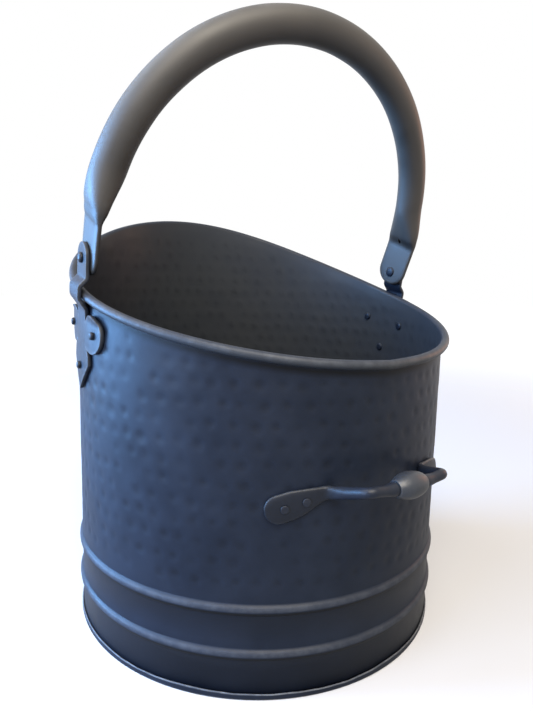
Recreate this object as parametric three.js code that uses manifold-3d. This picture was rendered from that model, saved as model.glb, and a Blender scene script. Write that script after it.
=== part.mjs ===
// Coal scuttle: a round sheet-steel bucket with a raised pouring lip, a swinging bail and a
// tipping handle low on its back. Millimetres, +Z up.
// Origin: the middle of the underside, on the floor. +Y points to the pouring lip, -Y to the
// tipping handle, and X runs along the bail's pivots.
import * as THREE from 'three';
import { mergeVertices } from 'three/addons/utils/BufferGeometryUtils.js';
import Module from 'manifold-3d';

const wasm = await Module();
wasm.setup();

// ---------------------------------------------------------------- driving dimensions
const RUNNING_GAP = 0.3;          // between pieces that touch or turn on each other
const RING_STEPS = 60;            // facets round the bucket, shared by all that wraps round it

const BODY_RADIUS = 150;          // outer face of the wall
const SHEET = 1.2;                // wall, rim curl and base pan

const RIM_MEAN = 266.5;           // mean height of the wired edge's centre
const RIM_TILT = 53.2;            // once-round wave: the lip up and the back down
const RIM_CREST = 6.9;            // twice-round wave: lip and back up, the sides down
const RIM_PINCH = 1.8;            // three-round wave that narrows the lip
const WIRE_DIAMETER = 3.4;        // wire rolled into the edge
const WIRE_SIDES = 8;
const RIM_FLARE = 0.5;            // wall steps out by this under the curl
const FLARE_RUN = 8;              // height of that step
const CURL_END = -125;            // degrees at which the curled sheet stops, below the wire
const CURL_STEPS = 8;

const BEAD_HEIGHTS = [33, 63.8];  // middles of the two swaged beads
const BEAD_WIDTH = 8;
const BEAD_RISE = 2.2;
const BEAD_STEPS = 4;

const PAN_FLANGE = 5;             // height of the pan's turned-up edge
const PAN_CORNER = 1;             // round under that edge

const BRACKET_TILT = 9;           // degrees, the bracket's top leaning to the back
const BRACKET_BELOW_RIM = 27;     // plate's middle below the wired edge
const BRACKET_FORWARD = -1;       // plate's middle ahead of the bucket's axis
const BRACKET_THICKNESS = 2.8;
const LOBE_RADIUS = 13.5;
const LOBE_SPREAD = 40;           // between the two lobes' centres
const LOBE_RIVET_SPREAD = 46;     // between the two lobes' rivets
const LEAF_ROOT = 11;             // half-width where the leaf leaves the lobes
const LEAF_HALF_WIDTH = 17;
const LEAF_DRAW = 1;              // leaf's side bows in by this above its widest place
const LEAF_SHOULDER = 23.5;       // leaf's widest place below the plate's middle
const LEAF_TIP = 45;              // leaf's point below the plate's middle
const LEAF_RIVET = 27;            // leaf's rivet below the plate's middle
const NECK_WIDTH = 17;            // strap where it leaves the lobes
const LUG_WIDTH = 22;             // strap at the pivot, and its round top
const LUG_SETBACK = 0.8;          // lug's inner face outside the wall
const JOGGLE_CLEAR = 0.6;         // straight stretch beyond the curl, above and below it
const JOGGLE_OUT = 8.3;           // height in which the strap steps out from the plate
const JOGGLE_IN = 5.5;            // height in which it steps back in to the lug
const PIVOT_RISE = 50;            // pivot above the plate's middle, along the strap
const OUTLINE_STEPS = 7;          // facets on each curve of the bracket's outline

const BAIL_DIAMETER = 24;
const BAIL_WALL = 1.2;
const BAIL_CROWN = 30;            // centre of the bail's half circle above the pivots
const BAIL_LEAN = 22;             // degrees from upright towards the back, as it stands
const EAR_THICKNESS = 5;          // tube flattened at the pivots
const EAR_WIDTH = 34;
const EAR_STEP = 3.5;             // ears lie this much further out than the tube's middle
const EAR_BELOW_PIVOT = 11.5;
const EAR_ROUND = 13.5;           // length of the ear's rounded end
const EAR_FLAT = 25;              // flat length above the rounded end
const EAR_RINGS = [0.03, 0.12, 0.3, 0.55, 1]; // skin's rings, as shares of the rounded end
const PINCH_LENGTH = 40;          // from flat to round
const PINCH_CAVITY = 1;           // solid stretch between the flat and the hollow
const VENT_DIAMETER = 4;          // drain hole into the hollow, on the inner side
const VENT_RISE = 3.5;            // hole above the start of the pinch
const BAIL_SIDES = 12;
const BAIL_STEPS = 24;            // steps between the two pinches
const PINCH_STEPS = 7;
const ROUND_POWER = 2;            // section of a round tube or rod
const FLAT_POWER = 3;             // squarer section of a flattened one

const HANDLE_ROD = 7;
const HANDLE_ROOT = 8.6;          // rod's height where it leaves the foot
const HANDLE_STANDOFF = 24;       // rod's centre behind the wall
const HANDLE_HEIGHT = 145.3;
const ELBOW_LIFT = 1.3;           // elbows above the ball's middle
const HANDLE_ELBOW = 33;          // elbow's distance from the middle
const ELBOW_ROUND = 7;            // rounding of the elbow
const FOOT_ROOT_ANGLE = 16.5;     // degrees from the back: where the foot becomes the rod
const FOOT_TIP_ANGLE = 31.2;
const ROOT_TURN = 2;              // degrees in which the rod lifts off the wall
const FOOT_ROOT_HEIGHT = 138.8;
const FOOT_TIP_HEIGHT = 127.2;
const FOOT_THICKNESS = 3.2;
const FOOT_WIDTH = 19;
const FOOT_RIVET_ANGLES = [21.4, 26.5];
const FOOT_RIVET_DROP = 0.5;      // rivets below the foot's middle line
const FOOT_TAPER = 0.5;           // share of the foot's length before it narrows
const FOOT_STEPS = 12;
const FOOT_FIRST_STEP = 0.35;     // first section, in steps from the tip
const ARM_STEPS = 16;
const ROOT_SWELL = 0.3;           // share of the arm in which the flat foot turns round
const ROOT_TAPER = 0.6;           // share of the arm in which its height settles
const HANDLE_SIDES = 12;
const BALL_LENGTH = 25;
const BALL_DIAMETER = 17.2;
const BALL_LIP = 1.2;             // wall round the bore at the ball's flat ends
const BALL_STEPS = 10;
const BALL_SIDES = 20;

const PLATE_RIVET = { shank: 4, head: 6.4, rise: 2, tail: 6.7, tailRise: 1.6 };
const FOOT_RIVET = { shank: 4, head: 6, rise: 0.9, tail: 6.7, tailRise: 1.6 };
const PIVOT_RIVET = { shank: 5, head: 8, rise: 2.4, tail: 8, tailRise: 2 };
const RIVET_SIDES = 10;
const HOLE_SIDES = 10;

// ---------------------------------------------------------------- values that follow
const radians = THREE.MathUtils.degToRad;
const wireRadius = WIRE_DIAMETER / 2;
const curlInner = wireRadius + RUNNING_GAP;
const curlOuter = curlInner + SHEET;
const wireCircle = BODY_RADIUS + RIM_FLARE + curlInner; // circle that the wire's centre follows
const innerWall = BODY_RADIUS - SHEET;
const wallFoot = SHEET + RUNNING_GAP;                   // the wall stands in the pan
const sideRimHeight = rimHeight(Math.PI / 2);

const tilt = radians(BRACKET_TILT);
const acrossPlate = new THREE.Vector3(0, Math.cos(tilt), Math.sin(tilt));
const upPlate = new THREE.Vector3(0, -Math.sin(tilt), Math.cos(tilt));
const plateMiddle = new THREE.Vector3(0, BRACKET_FORWARD, sideRimHeight - BRACKET_BELOW_RIM);
const plateInner = BODY_RADIUS + RUNNING_GAP;
const plateOuter = plateInner + BRACKET_THICKNESS;
const rimAbovePlate = BRACKET_BELOW_RIM / Math.cos(tilt);
const joggleHalf = curlOuter + JOGGLE_CLEAR;
const plateTop = rimAbovePlate - joggleHalf - JOGGLE_OUT;
const lugInner = BODY_RADIUS + LUG_SETBACK;
const lugOuter = lugInner + BRACKET_THICKNESS;
const pivot = plateMiddle.clone().addScaledVector(upPlate, PIVOT_RISE);

const earMiddle = lugInner - RUNNING_GAP - EAR_THICKNESS / 2;
const bailRadius = earMiddle - EAR_STEP;                // half circle of the tube's middle
const earFace = earMiddle - EAR_THICKNESS / 2;          // inner face of an ear
const earLength = EAR_ROUND + EAR_FLAT;
const legLength = BAIL_CROWN + EAR_BELOW_PIVOT;
const bailLength = 2 * legLength + Math.PI * bailRadius;

const footCircle = BODY_RADIUS + RUNNING_GAP + FOOT_THICKNESS / 2;
const footOuter = footCircle + FOOT_THICKNESS / 2;
const handleReach = BODY_RADIUS + HANDLE_STANDOFF;

const plateRivets = [
  { name: 'front_rivet', across: LOBE_RIVET_SPREAD / 2, up: 0 },
  { name: 'back_rivet', across: -LOBE_RIVET_SPREAD / 2, up: 0 },
  { name: 'leaf_rivet', across: 0, up: -LEAF_RIVET },
].map(({ name, across, up }) => ({ name, ...plateSpot(across, up) }));

const footRivets = FOOT_RIVET_ANGLES.map((angle, index) => (
  { name: ['inner_rivet', 'outer_rivet'][index], angle, height: footHeight(angle) - FOOT_RIVET_DROP }
));

const blackSteel = { color: 0x2b2d33, roughness: 0.62, metalness: 0.35 };
const materials = {
  wall: blackSteel,
  wire: { color: 0x6d6f72, roughness: 0.45, metalness: 0.9 },
  forging: { color: 0x2d3036, roughness: 0.55, metalness: 0.4 },
  rivet: { color: 0x34363b, roughness: 0.5, metalness: 0.5 },
  tube: { color: 0x2e3138, roughness: 0.5, metalness: 0.4 },
};

// ---------------------------------------------------------------- shared helpers
// Height of the wired edge's centre at an angle round the bucket, from the lip.
function rimHeight(angle) {
  return RIM_MEAN + RIM_TILT * Math.cos(angle)
    + RIM_CREST * Math.cos(2 * angle) + RIM_PINCH * Math.cos(3 * angle);
}

// Where a spot on the bracket's plate lies round the wall: its sideways distance and height.
function plateSpot(across, up) {
  const spot = plateMiddle.clone().addScaledVector(acrossPlate, across).addScaledVector(upPlate, up);
  return { forward: spot.y, height: spot.z };
}

// Height of a foot's middle line at an angle from the back, in degrees.
function footHeight(angle) {
  const share = (angle - FOOT_ROOT_ANGLE) / (FOOT_TIP_ANGLE - FOOT_ROOT_ANGLE);
  return THREE.MathUtils.lerp(FOOT_ROOT_HEIGHT, FOOT_TIP_HEIGHT, share);
}

function indexedGeometry(points, faces) {
  const geometry = new THREE.BufferGeometry();
  geometry.setAttribute('position', new THREE.Float32BufferAttribute(points, 3));
  geometry.setIndex(faces);
  geometry.computeVertexNormals();
  return geometry;
}

function toSolid(geometry) {
  const bare = geometry.clone();
  bare.deleteAttribute('normal');
  bare.deleteAttribute('uv');
  const merged = mergeVertices(bare);
  return new wasm.Manifold(new wasm.Mesh({
    numProp: 3,
    vertProperties: new Float32Array(merged.attributes.position.array),
    triVerts: new Uint32Array(merged.index.array),
  }));
}

function toGeometry(solid) {
  const mesh = solid.getMesh();
  return indexedGeometry(Array.from(mesh.vertProperties), Array.from(mesh.triVerts));
}

function cut(solid, tools) {
  return tools.reduce((rest, tool) => rest.subtract(toSolid(tool)), solid);
}

function named(name, geometry, look) {
  const mesh = new THREE.Mesh(geometry, new THREE.MeshStandardMaterial(look));
  mesh.name = name;
  return mesh;
}

// Closed ring round the bucket. section(angle) lists [radius, height] points, anticlockwise with
// the radius to the right and the height up.
function sweptRing(section) {
  const points = [];
  const faces = [];
  const count = section(0).length;
  for (let step = 0; step < RING_STEPS; step += 1) {
    const angle = (step / RING_STEPS) * 2 * Math.PI;
    section(angle).forEach(([radius, height]) => {
      points.push(radius * Math.sin(angle), radius * Math.cos(angle), height);
    });
    const next = (step + 1) % RING_STEPS;
    for (let k = 0; k < count; k += 1) {
      const [a, b] = [step * count + k, step * count + (k + 1) % count];
      const [c, d] = [next * count + k, next * count + (k + 1) % count];
      faces.push(a, b, d, a, d, c);
    }
  }
  return indexedGeometry(points, faces);
}

// Closed skin over a row of rings of points, all with the same count, capped at both ends.
function skin(rings) {
  const count = rings[0].length;
  const points = rings.flat().flatMap((point) => point.toArray());
  const faces = [];
  for (let row = 0; row < rings.length - 1; row += 1) {
    for (let k = 0; k < count; k += 1) {
      const [a, b] = [row * count + k, row * count + (k + 1) % count];
      faces.push(a, b + count, b, a, a + count, b + count);
    }
  }
  const last = (rings.length - 1) * count;
  for (let k = 1; k < count - 1; k += 1) {
    faces.push(0, k, k + 1, last, last + k + 1, last + k);
  }
  return indexedGeometry(points, faces);
}

// Ring of points round a centre: an oval at power 2, squarer as the power grows.
function oval(centre, first, second, halfFirst, halfSecond, power, sides) {
  const bulge = (value) => Math.sign(value) * Math.abs(value) ** (2 / power);
  return Array.from({ length: sides }, (_, k) => {
    const angle = ((k + 0.5) / sides) * 2 * Math.PI;
    return centre.clone()
      .addScaledVector(first, halfFirst * bulge(Math.cos(angle)))
      .addScaledVector(second, halfSecond * bulge(Math.sin(angle)));
  });
}

// Cylinder lying along X, between two distances from the bucket's axis.
function pinAlongX(diameter, from, to, sides) {
  const geometry = new THREE.CylinderGeometry(diameter / 2, diameter / 2, to - from, sides);
  return geometry.rotateZ(Math.PI / 2).translate((from + to) / 2, 0, 0);
}

// Shoulder of a domed head, halfway round from its edge to its crown: radius and rise.
function shoulder(diameter, rise) {
  return [diameter / 2 * Math.SQRT1_2, rise * Math.SQRT1_2];
}

// Rivet along X: its tail's seat and its head's seat are distances from the bucket's axis.
function rivetGeometry(size, tailSeat, headSeat) {
  const tailAt = tailSeat - RUNNING_GAP;
  const headAt = headSeat + RUNNING_GAP;
  const [tailRadius, tailRise] = shoulder(size.tail, size.tailRise);
  const [headRadius, headRise] = shoulder(size.head, size.rise);
  const profile = [
    [0, tailAt - size.tailRise],
    [tailRadius, tailAt - tailRise],
    [size.tail / 2, tailAt],
    [size.shank / 2, tailAt],
    [size.shank / 2, headAt],
    [size.head / 2, headAt],
    [headRadius, headAt + headRise],
    [0, headAt + size.rise],
  ].map(([radius, along]) => new THREE.Vector2(radius, along));
  return new THREE.LatheGeometry(profile, RIVET_SIDES).rotateZ(-Math.PI / 2);
}

// Turns about Z that points +X outwards at a forward distance on a circle, on one side.
function bearing(forward, circle, side) {
  const angle = Math.asin(forward / circle);
  return side > 0 ? angle : Math.PI - angle;
}

// ---------------------------------------------------------------- holes that line up
// Radial holes through the wall and a bracket's plate, on one side (+1 is +X).
function plateHoles(side) {
  return plateRivets.map(({ forward, height }) => (
    pinAlongX(PLATE_RIVET.shank + 2 * RUNNING_GAP, innerWall - SHEET, plateOuter + SHEET, HOLE_SIDES)
      .rotateZ(bearing(forward, plateInner, side)).translate(0, 0, height)
  ));
}

// Radial holes through the wall and a tipping handle's foot, on one side.
function footHoles(side) {
  return footRivets.map(({ angle, height }) => (
    pinAlongX(FOOT_RIVET.shank + 2 * RUNNING_GAP, innerWall - SHEET, footOuter + SHEET, HOLE_SIDES)
      .rotateZ(-Math.PI / 2 + side * radians(angle)).translate(0, 0, height)
  ));
}

// Hole along the pivot axis through a lug and an ear, on one side.
function pivotHole(side) {
  const diameter = PIVOT_RIVET.shank + 2 * RUNNING_GAP;
  const hole = pinAlongX(diameter, earFace - SHEET, lugOuter + SHEET, HOLE_SIDES);
  return side > 0 ? hole : hole.rotateY(Math.PI);
}

// ---------------------------------------------------------------- bucket
// One face of the wall over a bead: raised points from its foot to its head.
function beadPoints(radius, middle) {
  return Array.from({ length: BEAD_STEPS + 1 }, (_, step) => {
    const across = (2 * step) / BEAD_STEPS - 1;
    const rise = BEAD_RISE * (1 + Math.cos(Math.PI * across)) / 2;
    return [radius + rise, middle + across * BEAD_WIDTH / 2];
  });
}

function wallFace(radius) {
  return [[radius, wallFoot], ...BEAD_HEIGHTS.flatMap((middle) => beadPoints(radius, middle))];
}

// Sheet rolled over the wire, from the wall up and outwards to its end below the wire.
function curlPoints(radius, height) {
  return Array.from({ length: CURL_STEPS + 1 }, (_, step) => {
    const angle = radians(THREE.MathUtils.lerp(180, CURL_END, step / CURL_STEPS));
    return [wireCircle + radius * Math.cos(angle), height + radius * Math.sin(angle)];
  });
}

function bodyShell() {
  const blank = sweptRing((angle) => [
    ...wallFace(BODY_RADIUS),
    [BODY_RADIUS, rimHeight(angle) - FLARE_RUN],
    ...curlPoints(curlInner, rimHeight(angle)),
    ...curlPoints(curlOuter, rimHeight(angle)).reverse(),
    [innerWall, rimHeight(angle) - FLARE_RUN],
    ...wallFace(innerWall).reverse(),
  ]);
  const holes = [-1, 1].flatMap((side) => [...plateHoles(side), ...footHoles(side)]);
  return named('body_shell', toGeometry(cut(toSolid(blank), holes)), materials.wall);
}

function rimWire() {
  const ring = sweptRing((angle) => Array.from({ length: WIRE_SIDES }, (_, step) => {
    const turn = (step / WIRE_SIDES) * 2 * Math.PI;
    return [wireCircle + wireRadius * Math.cos(turn), rimHeight(angle) + wireRadius * Math.sin(turn)];
  }));
  return named('rim_wire', ring, materials.wire);
}

function basePan() {
  const flangeInner = BODY_RADIUS + RUNNING_GAP;
  const flangeOuter = flangeInner + SHEET;
  const profile = [
    [0, 0],
    [flangeOuter - PAN_CORNER, 0],
    [flangeOuter, PAN_CORNER],
    [flangeOuter, PAN_FLANGE],
    [flangeInner, PAN_FLANGE],
    [flangeInner, SHEET],
    [0, SHEET],
  ].map(([radius, height]) => new THREE.Vector2(radius, height));
  const pan = new THREE.LatheGeometry(profile, RING_STEPS).rotateX(Math.PI / 2);
  return named('base_pan', pan, materials.wall);
}

// ---------------------------------------------------------------- brackets
// Front view of a bracket: pointed leaf, two round lobes, a tapered neck and a round-topped lug.
function bracketOutline() {
  const upperCorner = Math.acos((NECK_WIDTH / 2 - LOBE_SPREAD / 2) / LOBE_RADIUS);
  const lowerCorner = Math.acos((LEAF_ROOT - LOBE_SPREAD / 2) / LOBE_RADIUS);
  const lobe = LOBE_SPREAD / 2;
  const shape = new THREE.Shape();
  shape.moveTo(0, -LEAF_TIP);
  shape.lineTo(LEAF_HALF_WIDTH, -LEAF_SHOULDER);
  shape.quadraticCurveTo(
    LEAF_HALF_WIDTH - LEAF_DRAW, -LEAF_SHOULDER / 2,
    LEAF_ROOT, -LOBE_RADIUS * Math.sin(lowerCorner),
  );
  shape.absarc(lobe, 0, LOBE_RADIUS, -lowerCorner, upperCorner, false);
  shape.lineTo(LUG_WIDTH / 2, rimAbovePlate);
  shape.absarc(0, PIVOT_RISE, LUG_WIDTH / 2, 0, Math.PI, false);
  shape.lineTo(-LUG_WIDTH / 2, rimAbovePlate);
  shape.absarc(-lobe, 0, LOBE_RADIUS, Math.PI - upperCorner, Math.PI + lowerCorner, false);
  shape.quadraticCurveTo(
    LEAF_DRAW - LEAF_HALF_WIDTH, -LEAF_SHOULDER / 2,
    -LEAF_HALF_WIDTH, -LEAF_SHOULDER,
  );
  return shape;
}

// Side view of a bent strip: points down the middle of its thickness, on one side of the bucket.
function stripOutline(middle, thickness, side) {
  const offset = (direction) => middle.map((point, index) => {
    const before = middle[Math.max(index - 1, 0)];
    const after = middle[Math.min(index + 1, middle.length - 1)];
    const arriving = point.clone().sub(before).normalize();
    const leaving = after.clone().sub(point).normalize();
    const along = arriving.add(leaving).normalize();
    const edge = index > 0 ? point.clone().sub(before) : after.clone().sub(point);
    const mitre = thickness / 2 / Math.abs(edge.normalize().dot(along));
    return new THREE.Vector2(-along.y, along.x).multiplyScalar(direction * mitre).add(point);
  });
  const outline = [...offset(1), ...offset(-1).reverse()];
  return new THREE.Shape(outline.map((point) => new THREE.Vector2(side * point.x, point.y)));
}

// The strap steps out round the wired edge and back in to the lug's plane.
function strapGeometry(side) {
  const onPlate = plateInner + BRACKET_THICKNESS / 2;
  const roundRim = wireCircle + curlOuter + RUNNING_GAP + BRACKET_THICKNESS / 2;
  const atLug = lugInner + BRACKET_THICKNESS / 2;
  const middle = [
    [onPlate, plateTop - JOGGLE_OUT],
    [onPlate, plateTop],
    [roundRim, rimAbovePlate - joggleHalf],
    [roundRim, rimAbovePlate + joggleHalf],
    [atLug, rimAbovePlate + joggleHalf + JOGGLE_IN],
    [atLug, PIVOT_RISE + LUG_WIDTH],
  ].map(([outwards, up]) => new THREE.Vector2(outwards, up));
  const outline = stripOutline(middle, BRACKET_THICKNESS, side);
  const width = LUG_WIDTH + 2 * RUNNING_GAP;            // the front view trims it
  const strip = new THREE.ExtrudeGeometry(outline, { depth: width, bevelEnabled: false });
  const outwards = new THREE.Vector3(1, 0, 0);
  const frame = new THREE.Matrix4().makeBasis(outwards, upPlate, acrossPlate.clone().negate());
  frame.setPosition(plateMiddle.clone().addScaledVector(acrossPlate, width / 2));
  return strip.applyMatrix4(frame);
}

// Band of plate that lies on the wall, all round it.
function plateBand() {
  const reach = LEAF_TIP + LOBE_SPREAD;
  const bottom = plateMiddle.z - reach;
  const top = plateMiddle.z + Math.sin(tilt) * LOBE_SPREAD / 2 + LOBE_RADIUS + RUNNING_GAP;
  return sweptRing(() => [
    [plateOuter, bottom],
    [plateOuter, top],
    [plateInner, top],
    [plateInner, bottom],
  ]);
}

function bracket(side) {
  const depth = 2 * LOBE_SPREAD;
  const options = { depth, bevelEnabled: false, curveSegments: OUTLINE_STEPS };
  const blank = new THREE.ExtrudeGeometry(bracketOutline(), options);
  const frame = new THREE.Matrix4().makeBasis(acrossPlate, upPlate, new THREE.Vector3(1, 0, 0));
  const nearFace = side > 0 ? BODY_RADIUS - LOBE_SPREAD : -BODY_RADIUS - LOBE_SPREAD;
  frame.setPosition(new THREE.Vector3(nearFace, plateMiddle.y, plateMiddle.z));
  const bent = toSolid(plateBand()).add(toSolid(strapGeometry(side)));
  const formed = bent.intersect(toSolid(blank.applyMatrix4(frame)));
  const lugHole = pivotHole(side).translate(0, pivot.y, pivot.z);
  const name = side > 0 ? 'right_bracket' : 'left_bracket';
  return named(name, toGeometry(cut(formed, [...plateHoles(side), lugHole])), materials.forging);
}

function bracketRivets(side) {
  const prefix = side > 0 ? 'right_bracket' : 'left_bracket';
  return plateRivets.map(({ name, forward, height }) => {
    const geometry = rivetGeometry(PLATE_RIVET, innerWall, plateOuter);
    const rivet = named(`${prefix}_${name}`, geometry, materials.rivet);
    rivet.rotation.z = bearing(forward, plateInner, side);
    rivet.position.z = height;
    return rivet;
  });
}

// ---------------------------------------------------------------- bail
// Middle line of the bail in its own plane, with the pivot axis at height 0: place and turn from
// the left leg, at a distance from the end of the left ear.
function bailSpot(distance) {
  const turn = THREE.MathUtils.clamp((distance - legLength) / bailRadius, 0, Math.PI);
  const belowCrown = Math.max(legLength - distance, legLength - (bailLength - distance), 0);
  const place = new THREE.Vector3(
    -bailRadius * Math.cos(turn), 0, BAIL_CROWN + bailRadius * Math.sin(turn) - belowCrown,
  );
  return { place, outwards: new THREE.Vector3(-Math.cos(turn), 0, Math.sin(turn)) };
}

// Share of the pinch that is done at a distance from the nearer end: 0 in the ear, 1 in the tube.
function pinchShare(fromEnd) {
  return THREE.MathUtils.clamp((fromEnd - earLength) / PINCH_LENGTH, 0, 1);
}

// Half sizes of the tube at a distance from its nearer end, in the bail's plane and across it.
function bailSection(fromEnd) {
  const round = BAIL_DIAMETER / 2;
  if (fromEnd < EAR_ROUND) {
    const across = Math.sqrt(1 - (1 - fromEnd / EAR_ROUND) ** 2);
    return { thin: EAR_THICKNESS / 2, wide: EAR_WIDTH / 2 * across, power: FLAT_POWER };
  }
  const swell = Math.sin(pinchShare(fromEnd) * Math.PI / 2);
  const narrowing = THREE.MathUtils.smoothstep(pinchShare(fromEnd), 0, 1);
  return {
    thin: THREE.MathUtils.lerp(EAR_THICKNESS / 2, round, swell),
    wide: THREE.MathUtils.lerp(EAR_WIDTH / 2, round, narrowing),
    power: THREE.MathUtils.lerp(FLAT_POWER, ROUND_POWER, swell),
  };
}

// Stations along the bail: close together in the ears and the pinches.
function bailDistances(start) {
  const ends = EAR_RINGS.map((share) => share * EAR_ROUND);
  const pinch = Array.from({ length: PINCH_STEPS + 1 }, (_, step) => (
    earLength + (step / PINCH_STEPS) * PINCH_LENGTH
  ));
  const arc = Array.from({ length: BAIL_STEPS / 2 }, (_, step) => (
    THREE.MathUtils.lerp(earLength + PINCH_LENGTH, bailLength / 2, (step + 1) / (BAIL_STEPS / 2))
  ));
  const half = [...ends, ...pinch, ...arc].filter((distance) => distance > start);
  const kept = start > 0 ? [start, ...half] : half;
  return [...kept, ...kept.slice(0, -1).reverse().map((distance) => bailLength - distance)];
}

// Skin of the tube from a distance at each end, drawn in by an inset. The ears lie further out
// than the half circle.
function bailSkin(start, inset) {
  const across = new THREE.Vector3(0, 1, 0);
  return skin(bailDistances(start).map((distance) => {
    const fromEnd = Math.min(distance, bailLength - distance);
    const { place, outwards } = bailSpot(distance);
    const { thin, wide, power } = bailSection(fromEnd);
    const step = 1 - THREE.MathUtils.smoothstep(pinchShare(fromEnd), 0, 1);
    place.addScaledVector(outwards, EAR_STEP * step);
    return oval(place, outwards, across, thin - inset, wide - inset, power, BAIL_SIDES);
  }));
}

function bailHandle() {
  const hollow = bailSkin(earLength + PINCH_CAVITY, BAIL_WALL);
  const tube = toSolid(bailSkin(0, 0)).subtract(toSolid(hollow));
  const vents = [0, Math.PI].map((turn) => (
    pinAlongX(VENT_DIAMETER, earFace - BAIL_DIAMETER, earMiddle, HOLE_SIDES).rotateY(turn)
      .translate(0, 0, earLength + VENT_RISE - EAR_BELOW_PIVOT)
  ));
  const bored = cut(tube, [pivotHole(1), pivotHole(-1), ...vents]);
  const bail = named('bail_handle', toGeometry(bored), materials.tube);
  bail.position.set(0, pivot.y, pivot.z);
  bail.rotation.x = radians(BAIL_LEAN);
  return bail;
}

function pivotRivet(side) {
  const name = side > 0 ? 'right_pivot_rivet' : 'left_pivot_rivet';
  const rivet = named(name, rivetGeometry(PIVOT_RIVET, earFace, lugOuter), materials.rivet);
  rivet.position.set(0, pivot.y, pivot.z);
  rivet.rotation.z = side > 0 ? 0 : Math.PI;
  return rivet;
}

// ---------------------------------------------------------------- tipping handle
// Spot on the back of the bucket: angle from the back in degrees, positive towards +X.
function backSpot(angle, radius, height) {
  return new THREE.Vector3(radius * Math.sin(radians(angle)), -radius * Math.cos(radians(angle)), height);
}

// Middle line of the handle's right half after the foot: off the wall, round the elbow, to the ball.
function armCurve() {
  const root = backSpot(FOOT_ROOT_ANGLE, footCircle, FOOT_ROOT_HEIGHT);
  const elbow = new THREE.Vector3(HANDLE_ELBOW, -handleReach, HANDLE_HEIGHT + ELBOW_LIFT);
  const inwards = root.clone().sub(elbow).normalize();
  const beforeElbow = elbow.clone().addScaledVector(inwards, ELBOW_ROUND);
  const afterElbow = elbow.clone().setX(HANDLE_ELBOW - ELBOW_ROUND);
  const atBall = new THREE.Vector3(BALL_LENGTH / 2 + RUNNING_GAP, -handleReach, HANDLE_HEIGHT);
  const beforeBall = atBall.clone().setX((atBall.x + afterElbow.x) / 2);
  const lift = backSpot(FOOT_ROOT_ANGLE - ROOT_TURN, footCircle + HANDLE_ROD / 2, FOOT_ROOT_HEIGHT);
  const arm = new THREE.CurvePath();
  arm.add(new THREE.QuadraticBezierCurve3(root, lift, beforeElbow));
  arm.add(new THREE.QuadraticBezierCurve3(beforeElbow, elbow, afterElbow));
  arm.add(new THREE.QuadraticBezierCurve3(afterElbow, beforeBall, atBall));
  arm.add(new THREE.LineCurve3(atBall, atBall.clone().setX(0)));
  return arm;
}

// Sections of the foot, from its tip to its root: centre, direction and half sizes.
function footSections() {
  const reach = radians(FOOT_TIP_ANGLE - FOOT_ROOT_ANGLE) * footCircle;
  const round = FOOT_WIDTH / 2;
  return Array.from({ length: FOOT_STEPS }, (_, step) => {
    const share = 1 - Math.cos((step + FOOT_FIRST_STEP) / FOOT_STEPS * Math.PI / 2);
    const along = share * reach;
    const angle = THREE.MathUtils.lerp(FOOT_TIP_ANGLE, FOOT_ROOT_ANGLE, share);
    const tipShare = Math.min(along / round, 1);
    const taper = THREE.MathUtils.smoothstep(share, FOOT_TAPER, 1);
    const half = round * Math.sqrt(1 - (1 - tipShare) ** 2);
    return {
      place: backSpot(angle, footCircle, footHeight(angle)),
      direction: backSpot(angle - 1, footCircle, footHeight(angle - 1))
        .sub(backSpot(angle, footCircle, footHeight(angle))).normalize(),
      thin: FOOT_THICKNESS / 2,
      tall: THREE.MathUtils.lerp(half, HANDLE_ROOT / 2, taper),
      power: FLAT_POWER,
    };
  });
}

// Sections of the arm, from the foot's root to the middle of the ball.
function armSections() {
  const arm = armCurve();
  return Array.from({ length: ARM_STEPS + 1 }, (_, step) => {
    const share = step / ARM_STEPS;
    const swell = THREE.MathUtils.smoothstep(share, 0, ROOT_SWELL);
    const taper = THREE.MathUtils.smoothstep(share, 0, ROOT_TAPER);
    return {
      place: arm.getPointAt(share),
      direction: arm.getTangentAt(share),
      thin: THREE.MathUtils.lerp(FOOT_THICKNESS / 2, HANDLE_ROD / 2, swell),
      tall: THREE.MathUtils.lerp(HANDLE_ROOT / 2, HANDLE_ROD / 2, taper),
      power: THREE.MathUtils.lerp(FLAT_POWER, ROUND_POWER, swell),
    };
  });
}

function handleRing({ place, direction, thin, tall, power }) {
  const up = new THREE.Vector3(0, 0, 1);
  const width = up.addScaledVector(direction, -up.dot(direction)).normalize();
  const normal = direction.clone().cross(width).normalize();
  return oval(place, normal, width, thin, tall, power, HANDLE_SIDES);
}

function mirrored(section) {
  const place = section.place.clone();
  const direction = section.direction.clone();
  place.x = -place.x;
  direction.set(direction.x, -direction.y, -direction.z);
  return { ...section, place, direction };
}

function tippingHandle() {
  const half = [...footSections(), ...armSections()];
  const whole = [...half, ...half.slice(0, -1).reverse().map(mirrored)];
  const blank = toSolid(skin(whole.map(handleRing)));
  const holes = [-1, 1].flatMap((side) => footHoles(side));
  return named('tipping_handle', toGeometry(cut(blank, holes)), materials.forging);
}

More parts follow.
